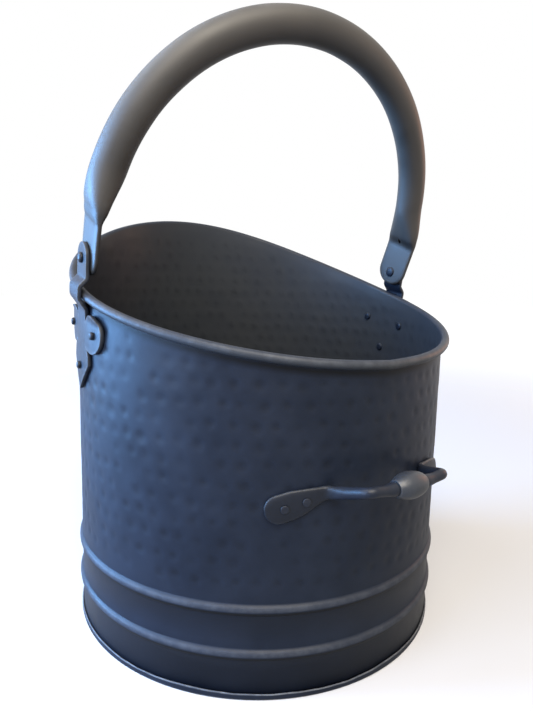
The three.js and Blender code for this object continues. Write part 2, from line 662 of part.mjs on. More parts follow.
function tippingHandleBall() {
  const bore = HANDLE_ROD / 2 + RUNNING_GAP;
  const collar = bore + BALL_LIP;
  const radius = BALL_DIAMETER / 2;
  const endAngle = Math.acos(collar / radius);
  const outside = Array.from({ length: BALL_STEPS + 1 }, (_, step) => {
    const angle = THREE.MathUtils.lerp(-endAngle, endAngle, step / BALL_STEPS);
    return [radius * Math.cos(angle), BALL_LENGTH / 2 * Math.sin(angle) / Math.sin(endAngle)];
  });
  const profile = [...outside, [bore, BALL_LENGTH / 2], [bore, -BALL_LENGTH / 2], outside[0]]
    .map(([away, along]) => new THREE.Vector2(away, along));
  const ball = new THREE.LatheGeometry(profile, BALL_SIDES).rotateZ(-Math.PI / 2);
  const mesh = named('tipping_handle_ball', ball, materials.forging);
  mesh.position.set(0, -handleReach, HANDLE_HEIGHT);
  return mesh;
}

function footRivet(side, { name, angle, height }) {
  const prefix = side > 0 ? 'right_foot' : 'left_foot';
  const geometry = rivetGeometry(FOOT_RIVET, innerWall, footOuter);
  const rivet = named(`${prefix}_${name}`, geometry, materials.rivet);
  rivet.rotation.z = -Math.PI / 2 + side * radians(angle);
  rivet.position.z = height;
  return rivet;
}

// ---------------------------------------------------------------- assembly
const scuttle = new THREE.Group();
scuttle.add(bodyShell(), rimWire(), basePan());
for (const side of [-1, 1]) {
  scuttle.add(bracket(side), ...bracketRivets(side), pivotRivet(side));
  scuttle.add(...footRivets.map((spot) => footRivet(side, spot)));
}
scuttle.add(bailHandle(), tippingHandle(), tippingHandleBall());

export default scuttle;
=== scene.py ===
"""Coal scuttle in satin black steel: its looks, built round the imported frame.

Metres, +Z up. +Y points to the pouring lip, -Y to the tipping handle, X runs along the pivots.
"""

import logging
import math
from dataclasses import dataclass, field
from enum import Enum
from typing import Any, Sequence

import bmesh
import bpy
import numpy as np
from mathutils import Matrix, Vector, noise
from mathutils.geometry import delaunay_2d_cdt


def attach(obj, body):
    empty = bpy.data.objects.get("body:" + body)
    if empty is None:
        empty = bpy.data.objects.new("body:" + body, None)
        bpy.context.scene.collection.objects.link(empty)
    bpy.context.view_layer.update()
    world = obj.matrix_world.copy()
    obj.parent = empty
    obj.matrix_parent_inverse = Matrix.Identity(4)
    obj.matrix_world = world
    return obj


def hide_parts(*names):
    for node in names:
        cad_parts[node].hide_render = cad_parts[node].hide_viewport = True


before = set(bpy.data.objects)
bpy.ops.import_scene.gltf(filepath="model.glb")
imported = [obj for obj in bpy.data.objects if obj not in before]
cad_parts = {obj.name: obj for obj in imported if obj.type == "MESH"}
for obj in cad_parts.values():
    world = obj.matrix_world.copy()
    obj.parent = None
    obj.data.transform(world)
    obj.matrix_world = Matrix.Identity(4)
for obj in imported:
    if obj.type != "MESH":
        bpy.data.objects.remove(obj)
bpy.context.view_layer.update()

# short names for the types that recur
Array = np.ndarray
Object = bpy.types.Object
Socket = bpy.types.NodeSocket
Tree = bpy.types.NodeTree
Pair = tuple[float, float]
Triple = tuple[float, float, float]

LOG = logging.getLogger("scuttle")
TURN = 2 * math.pi
TO_MM = 1000
GAP = 0.0003                       # between pieces that touch
SHARP = math.radians(50)           # edges sharper than this stay sharp


class Side(Enum):
    """The two sides of the scuttle, across the bail's pivot axis."""

    LEFT = -1
    RIGHT = 1

    @property
    def label(self) -> str:
        """Word that the names of this side's pieces start with."""
        return self.name.lower()


class Body(Enum):
    """The two rigid bodies that pieces ride on."""

    BUCKET = "bucket"
    BAIL = "bail"


class TreeKind(Enum):
    """The two kinds of node group."""

    SHADER = "ShaderNodeTree"
    GEOMETRY = "GeometryNodeTree"


# ------------------------------------------------------------------ nodes and meshes
class Graph:
    """Adds nodes to one node tree and links them."""

    def __init__(self, tree: Tree) -> None:
        """Keep the shader or geometry tree to build in."""
        self.tree = tree

    def node(self, kind: str, inputs: dict | None = None, **settings: Any) -> bpy.types.Node:
        """Add one node.

        Args:
            kind: Blender's type name of the node.
            inputs: values or sockets by input name or index.
            settings: properties of the node.

        Returns:
            The new node.
        """
        node = self.tree.nodes.new(kind)
        for name, value in settings.items():
            setattr(node, name, value)
        self.feed_all(node.inputs, inputs or {})
        return node

    def feed(self, socket: Socket, value: Any) -> None:
        """Link a socket to another one, or set its own value.

        Args:
            socket: input to feed.
            value: output socket or plain value; a plain colour is three numbers.
        """
        if isinstance(value, Socket):
            self.tree.links.new(value, socket)
        else:
            socket.default_value = (*value, 1) if socket.type == "RGBA" else value

    def feed_all(self, sockets: Any, values: dict) -> None:
        """Feed several sockets, by name or index."""
        for key, value in values.items():
            self.feed(sockets[key], value)

    def math(self, operation: str, *values: Any, clamp: bool = False) -> Socket:
        """Add a Math node on these inputs, kept from 0 to 1 if clamp is set; its result."""
        inputs = dict(enumerate(values))
        return self.node("ShaderNodeMath", inputs, operation=operation, use_clamp=clamp).outputs[0]

    def vector(self, operation: str, *values: Any, out: int = 0) -> Socket:
        """Add a Vector Math node; out is 0 for a vector result and 1 for a number."""
        inputs = dict(enumerate(values))
        return self.node("ShaderNodeVectorMath", inputs, operation=operation).outputs[out]

    def scaled(self, vector: Any, factor: Any) -> Socket:
        """Vector times a number, as a socket."""
        return self.node("ShaderNodeVectorMath", {0: vector, 3: factor}, operation="SCALE").outputs[0]

    def ramp(self, value: Any, low: Any, high: Any, to_low: Any = 0.0, to_high: Any = 1.0,
             kind: str = "SMOOTHSTEP") -> Socket:
        """Map a value from the range low to high, held at its ends, to another range."""
        inputs = {0: value, 1: low, 2: high, 3: to_low, 4: to_high}
        return self.node("ShaderNodeMapRange", inputs, interpolation_type=kind).outputs[0]

    def mix(self, share: Any, first: Any, second: Any) -> Socket:
        """Mix two colours; share runs from 0, all first, to 1, all second."""
        inputs = {0: share, 6: first, 7: second}
        return self.node("ShaderNodeMix", inputs, data_type="RGBA").outputs[2]

    def noise(self, vector: Any, scale: Any, detail: float = 2.0, rough: float = 0.5) -> Socket:
        """Noise from 0 to 1, with scale features to a metre and detail octaves."""
        inputs = {"Vector": vector, "Scale": scale, "Detail": detail, "Roughness": rough}
        return self.node("ShaderNodeTexNoise", inputs).outputs[0]

    def mark(self, name: str) -> Socket:
        """Number that is stored on the piece under this name."""
        return self.node("ShaderNodeAttribute", attribute_name=name).outputs["Fac"]

    def group(self, tree: Tree, **inputs: Any) -> Any:
        """Place a node group, with its inputs by name; its outputs."""
        return self.node("ShaderNodeGroup", inputs, node_tree=tree).outputs


def new_tree(name: str, kind: TreeKind, inputs: dict[str, Any], outputs: dict[str, str]) -> tuple:
    """Make a node group with named sockets.

    Args:
        name: the group's name.
        kind: shader or geometry.
        inputs: each one's default, a float or an int, or the type of a socket that has none.
        outputs: each one's socket type, such as Float.

    Returns:
        The tree, its builder, its input node's outputs and its output node's inputs.
    """
    tree = bpy.data.node_groups.new(name, kind.value)
    for label, value in inputs.items():
        typed = {float: "Float", int: "Int"}.get(type(value), value)
        socket = tree.interface.new_socket(label, in_out="INPUT", socket_type="NodeSocket" + typed)
        if typed != value:
            socket.default_value = value
    for label, typed in outputs.items():
        tree.interface.new_socket(label, in_out="OUTPUT", socket_type="NodeSocket" + typed)
    graph = Graph(tree)
    return tree, graph, graph.node("NodeGroupInput").outputs, graph.node("NodeGroupOutput").inputs


def end_tree(graph: Graph, geometry: Any, finish: Any, out: Any) -> None:
    """End a geometry tree: make its instances real and give them their finish.

    Args:
        graph: the tree's builder.
        geometry: what it has made.
        finish: the material.
        out: inputs of the tree's output node.
    """
    plain = graph.node("GeometryNodeRealizeInstances", {0: geometry}).outputs[0]
    coated = graph.node("GeometryNodeSetMaterial", {0: plain, 2: finish}).outputs[0]
    graph.feed(out["Geometry"], coated)


def new_material(name: str) -> tuple:
    """Make an empty material.

    Args:
        name: the material's name.

    Returns:
        The material, its builder and the inputs of its shader.
    """
    material = bpy.data.materials.new(name)
    material.use_nodes = True
    return material, Graph(material.node_tree), material.node_tree.nodes["Principled BSDF"].inputs


def bake(piece: Object, tree: Tree, values: dict[str, Any]) -> None:
    """Run a geometry tree on a piece and keep its result as the plain mesh.

    Args:
        piece: object whose mesh the tree reads.
        tree: geometry tree.
        values: its inputs by name.
    """
    modifier = piece.modifiers.new(tree.name, "NODES")
    modifier.node_group = tree
    for item in tree.interface.items_tree:
        if item.item_type == "SOCKET" and item.in_out == "INPUT" and item.name in values:
            modifier[item.identifier] = values[item.name]
    settle(piece)


def settle(piece: Object) -> None:
    """Keep what a piece's modifiers make as its plain mesh, and remove them.

    Args:
        piece: object with modifiers.
    """
    graph = bpy.context.evaluated_depsgraph_get()
    mesh = bpy.data.meshes.new_from_object(
        piece.evaluated_get(graph), preserve_all_data_layers=True, depsgraph=graph)
    piece.modifiers.clear()
    old = piece.data
    piece.data = mesh
    bpy.data.meshes.remove(old)
    mesh.name = piece.name


def add_object(name: str, data: bpy.types.ID) -> Object:
    """Put something into the scene, at the origin.

    Args:
        name: its name.
        data: mesh, lamp or camera.

    Returns:
        Its object.
    """
    added = bpy.data.objects.new(name, data)
    bpy.context.scene.collection.objects.link(added)
    return added


def new_piece(name: str, points: Array, faces: Sequence[Sequence[int]],
              marks: dict[str, Array] | None = None) -> Object:
    """Make a smooth-shaded mesh object at the origin.

    Args:
        name: the piece's name.
        points: its vertices.
        faces: vertex indices of each face, anticlockwise from outside.
        marks: numbers stored at each vertex, by attribute name.

    Returns:
        The object.
    """
    mesh = bpy.data.meshes.new(name)
    mesh.from_pydata(np.asarray(points).tolist(), [], [list(map(int, face)) for face in faces])
    for label, values in (marks or {}).items():
        mesh.attributes.new(label, "FLOAT", "POINT").data.foreach_set(
            "value", np.asarray(values, np.float32))
    mesh.update()
    mesh.shade_smooth()
    return add_object(name, mesh)


def dress(piece: Object, finish: "Coat", body: Body, nodes: Sequence[str]) -> Object:
    """Give a piece its finish and its body, and hide the CAD nodes that it stands for.

    Args:
        piece: finished object.
        finish: its coat.
        body: what it rides on.
        nodes: CAD nodes that it replaces.

    Returns:
        The piece.
    """
    piece.data.materials.clear()
    piece.data.materials.append(finish.material())
    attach(piece, body.value)
    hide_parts(*nodes)
    LOG.info("%s: %d faces on %s", piece.name, len(piece.data.polygons), body.value)
    return piece


def smooth(value: Array | float, low: float, high: float) -> Array | float:
    """Smooth step from 0 at low to 1 at high."""
    share = np.clip((value - low) / (high - low), 0, 1)
    return share * share * (3 - 2 * share)


def band(value: Array, start: float, full: float, fading: float, end: float) -> Array:
    """1 from full to fading, and smoothly down to 0 at start and end."""
    return smooth(value, start, full) * (1 - smooth(value, fading, end))


def bell(value: float, middle: float, width: float) -> float:
    """Bell curve that is 1 at its middle."""
    return math.exp(-((value - middle) / width) ** 2)


def round_end(distance: float, reach: float) -> float:
    """Share of the full width, this far from the tip of an end that is rounded over reach."""
    return math.sqrt(1 - (1 - min(distance / reach, 1)) ** 2)


def bumps(points: Sequence, pitch: float) -> Array:
    """Smooth noise about 0 at each point, with this many features to a metre."""
    return np.array([noise.noise(Vector(point) * pitch) for point in points])


def beaten(points: Array, middle: Array, pitch: float, depth: float) -> Array:
    """Press a bar's vertices in unevenly; depth is the mean share of the way to its middle line."""
    return points + (points - middle) * (bumps(points, pitch) * depth - depth)[:, None]


def curved(start: Array, control: Array, end: Array, count: int) -> Array:
    """Points along a curve that bends once; control is where its two end tangents meet."""
    share = np.linspace(0, 1, count)[:, None]
    return (1 - share) ** 2 * start + 2 * share * (1 - share) * control + share ** 2 * end


def spread_turns(count: int, shift: float = 0.0) -> Array:
    """Evenly spaced turns round an axis, in radians."""
    return (np.arange(count) + shift) / count * TURN


def oval(sides: int, power: float) -> list[Array]:
    """Across and along of the vertices of a unit oval: power 2 is round, more is squarer."""
    turns = spread_turns(sides, 0.5)
    return [np.sign(wave) * np.abs(wave) ** (2 / power) for wave in (np.cos(turns), np.sin(turns))]


def strip(rows: int, columns: int, start: int = 0, ring: bool = False) -> list[list[int]]:
    """Quads between closed rows of vertices, each up one column and down the next.

    Args:
        rows: how many rows.
        columns: vertices in each.
        start: index of the first vertex.
        ring: whether the last row also joins the first.

    Returns:
        The faces.
    """
    def at(row: int, k: int) -> int:
        """Index of a vertex, counted round its row and round the rows."""
        return start + row % rows * columns + k % columns

    return [[at(row, k), at(row + 1, k), at(row + 1, k + 1), at(row, k + 1)]
            for row in range(rows if ring else rows - 1) for k in range(columns)]


def turned(faces: list[list[int]]) -> list[list[int]]:
    """The same faces facing the other way, each from the same first corner."""
    return [[face[0], *face[:0:-1]] for face in faces]


def tube_faces(rings: int, sides: int) -> list[list[int]]:
    """Faces of a closed skin over rings of vertices, which run clockwise seen along the tube."""
    last = (rings - 1) * sides
    return [*strip(rings, sides), list(range(sides)), [last + k for k in reversed(range(sides))]]


def lathe(profile: Sequence[Pair], sides: int) -> tuple[Array, list[list[int]]]:
    """Turn a profile about Z. It starts and ends on the axis, lowest first, outside to the right.

    Args:
        profile: radius and height of each point.
        sides: vertices round the axis.

    Returns:
        Vertices and faces.
    """
    angles = spread_turns(sides)
    inner = profile[1:-1]
    rings = [np.stack([r * np.cos(angles), r * np.sin(angles), np.full(sides, z)], 1) for r, z in inner]
    points = np.concatenate([*rings, [[0, 0, profile[0][1]], [0, 0, profile[-1][1]]]])
    faces = turned(strip(len(inner), sides))
    foot, top, last = len(points) - 2, len(points) - 1, (len(inner) - 1) * sides
    for k in range(sides):
        n = (k + 1) % sides
        faces += [[foot, n, k], [top, last + k, last + n]]
    return points, faces


# ------------------------------------------------------------------ finishes
class Effect(Enum):
    """Shader node groups that the coats share, each built once."""

    GRAIN = "coat_grain"
    WEAR = "edge_wear"
    DUST = "hearth_dust"
    SOOT = "hearth_soot"
    CHIPS = "coat_chips"
    FORGE = "forge_marks"

    def tree(self) -> Tree:
        """The effect's group, built when it is first asked for."""
        return bpy.data.node_groups.get(self.value) or getattr(self, "_" + self.name.lower())()

    def _start(self, inputs: dict[str, Any], *outputs: str) -> tuple:
        """Start the effect's group, as new_tree does; its outputs are numbers."""
        return new_tree(self.value, TreeKind.SHADER, inputs, dict.fromkeys(outputs, "Float"))

    def _grain(self) -> Tree:
        """Fine orange peel of a powder coat, and the slow mottling of its gloss.

        Returns:
            The group.
        """
        tree, g, given, out = self._start({"Vector": "Vector", "Grain": 900.0, "Mottle": 30.0},
                                          "Height", "Mottling")
        fine = g.noise(given["Vector"], given["Grain"], 3.0, 0.6)
        specks = g.noise(given["Vector"], g.math("MULTIPLY", given["Grain"], 2.7), 1.0)
        g.feed(out["Height"], g.math("ADD", fine, g.math("MULTIPLY", specks, 0.4)))
        slow = g.noise(given["Vector"], given["Mottle"], 4.0, 0.55)
        g.feed(out["Mottling"], g.ramp(slow, 0.32, 0.68))
        return tree

    def _wear(self) -> Tree:
        """Coat rubbed thin along edges, and painted highlights on the sheet's rim, beads and flange: the
        piece's edge mark, broken up by noise.

        Returns:
            The group.
        """
        tree, g, given, out = self._start({"Vector": "Vector", "Amount": 0.5}, "Mask")
        broken = g.ramp(g.noise(given["Vector"], 160.0, 5.0, 0.65), 0.38, 0.66)
        soft = g.math("MULTIPLY", g.mark("edge"), g.math("MULTIPLY_ADD", broken, 0.5, 0.5))
        g.feed(out["Mask"], g.math("MULTIPLY", soft, given["Amount"], clamp=True))
        return tree

    def _dust(self) -> Tree:
        """Pale dust that settles on what faces up, and painted light that makes up-facing faces paler.

        Returns:
            The group.
        """
        tree, g, given, out = self._start({"Vector": "Vector", "Amount": 0.1}, "Mask")
        normal = g.node("ShaderNodeNewGeometry").outputs["Normal"]
        up = g.node("ShaderNodeSeparateXYZ", {0: normal}).outputs[2]
        patches = g.ramp(g.noise(given["Vector"], 45.0, 6.0, 0.7), 0.35, 0.75)
        settled = g.math("MULTIPLY", g.ramp(up, 0.15, 0.95), g.math("MULTIPLY_ADD", patches, 0.8, 0.2))
        g.feed(out["Mask"], g.math("MULTIPLY", settled, given["Amount"], clamp=True))
        return tree

    def _soot(self) -> Tree:
        """Painted shade in folds and under edges: the piece's painted shade mark.

        Returns:
            The group.
        """
        tree, g, given, out = self._start({"Amount": 0.9}, "Mask")
        g.feed(out["Mask"], g.math("MULTIPLY", g.mark("soot"), given["Amount"]))
        return tree

    def _chips(self) -> Tree:
        """Sparse pin-head chips and nicks in the coat.

        Returns:
            The group.
        """
        tree, g, given, out = self._start({"Vector": "Vector", "Cells": 45.0, "Share": 0.03}, "Mask")
        ragged = g.node("ShaderNodeTexNoise", {"Vector": given["Vector"], "Scale": 500.0}).outputs[1]
        bent = g.vector("ADD", given["Vector"], g.scaled(ragged, 0.0012))
        cells = g.node("ShaderNodeTexVoronoi", {"Vector": bent, "Scale": given["Cells"]})
        pick = g.node("ShaderNodeSeparateColor", {0: cells.outputs["Color"]})
        chosen = g.math("LESS_THAN", pick.outputs[0], given["Share"])
        size = g.math("MULTIPLY_ADD", pick.outputs[1], 0.035, 0.012)
        inside = g.math("LESS_THAN", cells.outputs["Distance"], size)
        g.feed(out["Mask"], g.math("MULTIPLY", chosen, inside))
        return tree

    def _forge(self) -> Tree:
        """Shallow overlapping planishing marks of hand-forged iron.

        Returns:
            The group.
        """
        tree, g, given, out = self._start({"Vector": "Vector", "Marks": 220.0}, "Height")
        cells = g.node("ShaderNodeTexVoronoi", {"Vector": given["Vector"], "Scale": given["Marks"],
                                                "Smoothness": 0.6}, feature="SMOOTH_F1")
        g.feed(out["Height"], cells.outputs["Distance"])
        return tree


PALER, PALER_BY = 1.25, 0.002           # the coat's light mottles against its dark ones
# pale colour of dust, also painted light on up-facing faces
DUST = (0.18, 0.183, 0.19)
BARE_STEEL = (0.24, 0.24, 0.25)
# near-black colour of the painted shade, painted where shade falls under edges and in folds
SOOT = (0.0008, 0.0008, 0.001)


@dataclass(frozen=True)
class Coat:
    """A satin black coat on steel, as one procedural material."""

    name: str
    slot: str
    colour: Triple
    thin: Triple                          # colour where the coat is rubbed thin, and of painted highlights on the sheet coat
    rough: float = 0.5
    rough_range: float = 0.07             # between the glossy and the dull mottles
    dust_rough: float = 0.5               # how much rougher it is under full dust
    wear_rough: float = -0.08             # and where it is fully worn
    grain: float = 900.0                  # features to a metre, as are the next two
    mottle: float = 30.0
    marks: float = 220.0
    grain_depth: float = 0.00004
    forge_depth: float = 0.0
    # strength of the edge mark: real wear, and on the sheet coat painted highlights
    wear: float = 0.5
    # share of pale dust on up-facing faces, which also paints them as lit from above
    dust: float = 0.12
    chips: float = 0.02                   # share of the cells with a chip
    chip_cells: float = 45.0              # cells to a metre
    chip_depth: float = 0.00004
    gloss: float = 0.36
    dent_tint: float = 0.0                # painted shade in the hammered dents: how much darker they are painted
    dent_dark: float = 0.25               # colour of that painted shade against the coat's own
    dent_full: float = 0.9                # dent mark at which the painted shade is darkest
    inside: Triple | None = None          # paler colour of the faces marked as inside: painted light on the inner face
    patchy: float = 0.25                  # how far the mottling thins it
    soot: float = 0.0                     # how much darker the painted shade marks are

    def material(self) -> bpy.types.Material:
        """The coat's material, built when it is first asked for."""
        return bpy.data.materials.get(self.name) or self._build()

    def _colour(self, g: Graph, mottling: Socket) -> Socket:
        """Colour of the coat itself, with its inside painted paler as painted light, and painted shade in
        its dents and under its edges and folds.

        Args:
            g: the material's builder.
            mottling: the coat's slow mottling.

        Returns:
            The colour.
        """
        pale = [min(1.0, part * PALER + PALER_BY) for part in self.colour]
        colour = g.mix(mottling, self.colour, pale)
        # painted light: the inner face is painted paler than the outer one, unevenly
        if self.inside:
            uneven = g.math("MULTIPLY_ADD", mottling, -self.patchy, g.mark("inside"), clamp=True)
            colour = g.mix(uneven, colour, self.inside)
        # painted shade in the hollows of the hammered dents
        if self.dent_tint > 0:
            shade = g.math("MULTIPLY", g.ramp(g.mark("dent"), 0.0, self.dent_full), self.dent_tint)
            colour = g.mix(shade, colour, [part * self.dent_dark for part in self.colour])
        # painted shade: darker towards near-black where the piece's shade mark is set
        if self.soot > 0:
            colour = g.mix(g.group(Effect.SOOT.tree(), Amount=self.soot)[0], colour, SOOT)
        return colour

    def _build(self) -> bpy.types.Material:
        """Build the material from its effects.

        Returns:
            The material.
        """
        material, g, shader = new_material(self.name)
        material.diffuse_color = (*self.colour, 1)
        place = g.node("ShaderNodeTexCoord").outputs["Object"]
        grain = g.group(Effect.GRAIN.tree(), Vector=place, Grain=self.grain, Mottle=self.mottle)
        wear = g.group(Effect.WEAR.tree(), Vector=place, Amount=self.wear)[0]
        dust = g.group(Effect.DUST.tree(), Vector=place, Amount=self.dust)[0]
        chips = g.group(Effect.CHIPS.tree(), Vector=place, Cells=self.chip_cells, Share=self.chips)[0]
        mottling = grain["Mottling"]
        colour = self._colour(g, mottling)
        for mask, tint in ((wear, self.thin), (dust, DUST), (chips, BARE_STEEL)):
            colour = g.mix(mask, colour, tint)
        rough = g.math("MULTIPLY_ADD", mottling, self.rough_range, self.rough - self.rough_range / 2)
        rough = g.math("MULTIPLY_ADD", dust, self.dust_rough, rough)
        height = g.math("MULTIPLY", grain["Height"], self.grain_depth)
        if self.forge_depth > 0:
            marks = g.group(Effect.FORGE.tree(), Vector=place, Marks=self.marks)[0]
            height = g.math("MULTIPLY_ADD", marks, self.forge_depth, height)
        height = g.math("MULTIPLY_ADD", chips, -self.chip_depth, height)
        bump = g.node("ShaderNodeBump", {"Height": height, "Distance": 1.0, "Strength": 1.0})
        rough = g.math("MULTIPLY_ADD", wear, self.wear_rough, rough)
        g.feed_all(shader, {"Base Color": colour, "Roughness": rough, "Normal": bump.outputs[0],
                            "Specular IOR Level": self.gloss})
        return material


# The sheet, forging and rivet colours are tinted blue: painted light, the blue cast of the window light on
# black paint that the tube's coat tints warm instead.
SHEET_COAT = Coat("satin_black_sheet", "sheet_black", (0.0063, 0.0098, 0.0190), (0.12, 0.13, 0.15),
                  rough=0.46, wear=0.75, dent_tint=0.32, inside=(0.025, 0.028, 0.033), soot=0.9, gloss=0.2)
STRAP_COAT = Coat("satin_black_forging", "strap_black", (0.0078, 0.0108, 0.0190), (0.07, 0.075, 0.085),
                  rough=0.43, forge_depth=0.0001, marks=260.0, wear=0.9, dust=0.04, chips=0.03, soot=0.9,
                  gloss=0.27)
# The grip's colour is lighter than the forging's: painted light for its broad highlight.
GRIP_COAT = Coat("satin_black_grip", "strap_black", (0.0165, 0.0200, 0.0270), (0.07, 0.075, 0.085),
                 rough=0.4, forge_depth=0.0001, marks=260.0, wear=0.6, dust=0.04, gloss=0.55)
RIVET_COAT = Coat("satin_black_rivet", "rivet_black", (0.0045, 0.0070, 0.0140), (0.07, 0.07, 0.075),
                  rough=0.42, forge_depth=0.00012, marks=520.0, wear=0.2, dust=0.03, gloss=0.22)
# The tube's colour is lighter and warmer than the other coats': painted light on the more brightly lit
# bail, and a painted warm reflection of the floor on its underside. Its raised dust share also paints its
# up-facing top paler as painted light.
TUBE_COAT = Coat("satin_black_tube", "tube_black", (0.032, 0.028, 0.024), (0.07, 0.07, 0.075), rough=0.54,
                 grain=1100.0, grain_depth=0.00003, dust=0.18, chips=0.01, soot=0.95, gloss=0.55)
WIRE_COAT = Coat("drawn_wire", "wire_steel", (0.30, 0.30, 0.31), (0.45, 0.45, 0.45), rough=0.35,
                 grain=1500.0, wear=0.2, dust=0.0, chips=0.0, gloss=0.5)


# ------------------------------------------------------------------ bucket
@dataclass
class Bucket:
    """Hammered wall with its rolled edge, and the pan that it stands in."""

    radius: float = 0.150
    sheet: float = 0.0012
    foot: float = 0.0015
    rim_mean: float = 0.2665
    rim_tilt: float = 0.0532
    rim_crest: float = 0.0069
    rim_pinch: float = 0.0018
    seam_dip: float = 0.0006            # dip of the edge where the sheet's ends meet
    seam_run: float = 0.008
    flare: float = 0.0005
    flare_run: float = 0.008
    curl_inner: float = 0.0020
    curl_end: float = -125.0
    beads: Pair = (0.033, 0.0638)
    bead_width: float = 0.008
    bead_rise: float = 0.0022
    bead_peak: float = -0.55            # crest below the bead's middle, in half widths
    bead_power: float = 0.75            # below 1 the beads are fuller
    bead_margin: Pair = (1.12, 1.6)     # rows beyond each bead, in half widths
    bead_clear: float = 0.8             # painted highlight on the beads' upper slopes, above their crests
    bead_worn: float = 0.36             # how worn the beads are above their crests
    bead_soot: tuple[float, ...] = (-0.0074, -0.0050, -0.0034, -0.0026)     # painted shade band under each bead, about the bead's middle
    curl_worn: float = 0.5              # strength of the painted highlight along the rolled edge, and where it is brightest, in radians
    curl_worn_turn: float = 1.15
    curl_soot: tuple[float, ...] = (0.0028, 0.0042, 0.0055, 0.0095)         # painted shade band under the rolled edge, below the wire's centre
    pan_flange: float = 0.005
    pan_corner: float = 0.001
    pan_bend: float = 0.004             # from the flange to the nearest ring of the flat
    pan_wave: float = 0.0008
    pan_pull: float = 0.0006            # share by which the flange is drawn in
    pan_noise: tuple[float, ...] = (26, 90, 60)         # waves to a metre: slow, quick and sideways
    pan_worn: Pair = (1.3, 0.3)         # painted highlights on the flange's top and on its foot
    pan_rings: tuple[float, ...] = (0.0, 0.06, 0.12)
    pan_steps: tuple[float, ...] = (0.0013, 0.0026, 0.0040)
    pan_sides: int = 420
    columns: int = 256                  # round the inner face; the outer face has twice as many
    hammered_rows: tuple[int, int] = (92, 64)           # on the outer and the inner face, as below
    bead_rows: tuple[int, int] = (12, 6)
    curl_rows: tuple[int, int] = (6, 18)
    fade_low: float = 0.008             # height over which the dents set in above the beads
    fade_top: Pair = (-0.002, 0.007)    # and where they end below the flare
    row_pitch: float = 0.0127
    dents_in_row: int = 70
    dent_radius: float = 0.0053
    dent_depth: float = 0.00055

    @property
    def curl_outer(self) -> float:
        """Radius of the rolled edge's outer face about its wire."""
        return self.curl_inner + self.sheet

    @property
    def wire_circle(self) -> float:
        """Radius of the circle that the wire's centre follows."""
        return self.radius + self.flare + self.curl_inner

    def rim(self, angle: Array | float) -> Array | float:
        """Height of the wired edge's centre.

        Args:
            angle: turn from the lip, in radians.

        Returns:
            Height, with the dip at the back seam.
        """
        away = np.abs(np.mod(angle, TURN) - math.pi) * self.radius
        dip = self.seam_dip * np.exp(-away / self.seam_run)
        wave = self.rim_tilt * np.cos(angle) + self.rim_crest * np.cos(2 * angle)
        return self.rim_mean + wave + self.rim_pinch * np.cos(3 * angle) - dip

    def _bead_rows(self, radius: float, steps: int) -> list[tuple]:
        """Rows over the two beads, upwards.

        Args:
            radius: the face's radius.
            steps: rows over each bead.

        Returns:
            Radius, height, hammered mark and edge mark of each row.
        """
        rows = []
        near, far = self.bead_margin
        for middle in self.beads:
            for across in (-far, -near, *np.linspace(-1, 1, steps + 1), near, far):
                reach = self.bead_peak - math.copysign(1, self.bead_peak - across)
                slope = (across - self.bead_peak) / (reach - self.bead_peak)
                share = max(0.0, 1 - slope ** 2) ** self.bead_power
                # the edge mark paints a highlight on each bead's upper slope
                above = smooth(across, self.bead_peak - 0.1, self.bead_peak + 0.1)
                rows.append((radius + self.bead_rise * share, middle + across * self.bead_width / 2,
                             0.0, self.bead_worn * above * smooth(share, 0.2, 0.7)))
        return rows

    def _wall_rows(self, radius: float, angles: Array, count: int, steps: int) -> list[tuple]:
        """Rows of one face of the wall, upwards, from the foot to where it flares.

        Args:
            radius: the face's radius.
            angles: the columns' turns.
            count: rows in the hammered zone.
            steps: rows over each bead.

        Returns:
            Radius, heights, hammered marks and edge mark of each row.
        """
        rows = [(radius, self.foot, 0.0, 0.0), *self._bead_rows(radius, steps)]
        low = self.beads[1] + self.bead_clear * self.bead_width
        top = self.rim(angles) - self.flare_run
        for step in range(1, count + 1):
            height = low + (top - low) * step / count
            hammered = smooth(height, low, low + self.fade_low) * smooth(top - height, *self.fade_top)
            rows.append((radius, height, hammered, 0.0))
        return rows

    def _curl_rows(self, radius: float, angles: Array, steps: int) -> list[tuple]:
        """Rows of one face of the rolled edge, from inside the bucket outwards and down.

        Args:
            radius: the face's radius about the wire.
            angles: the columns' turns.
            steps: rows, less one.

        Returns:
            As _wall_rows.
        """
        rows = []
        for step in range(steps + 1):
            turn = math.radians(180 + (self.curl_end - 180) * step / steps)
            # the edge mark paints a highlight along the rolled edge
            worn = self.curl_worn * max(0.0, math.sin(turn + self.curl_worn_turn)) ** 3
            rows.append((self.wire_circle + radius * math.cos(turn),
                         self.rim(angles) + radius * math.sin(turn), 0.0, worn))
        return rows

    def _flare_rows(self, radius: float, angles: Array) -> list[tuple]:
        """Rows of the small step outwards under the rolled edge, upwards."""
        return [(radius + self.flare * smooth(share, 0, 1),
                 self.rim(angles) - self.flare_run * (1 - share), 0.0, 0.0) for share in (0.35, 0.7)]

    def _stack(self, rows: list[tuple], angles: Array) -> tuple[Array, ...]:
        """Vertices, hammered marks and edge marks of rows.

        Args:
            rows: radius, height and the two marks of each row.
            angles: the columns' turns.

        Returns:
            The vertices and their two marks.
        """
        count = len(angles)
        spread = [[np.broadcast_to(value, count) for value in row] for row in rows]
        radius, height, hammered, edge = (np.concatenate([row[i] for row in spread]) for i in range(4))
        turns = np.tile(angles, len(rows))
        points = np.stack([radius * np.sin(turns), radius * np.cos(turns), height], 1)
        return points, hammered, edge

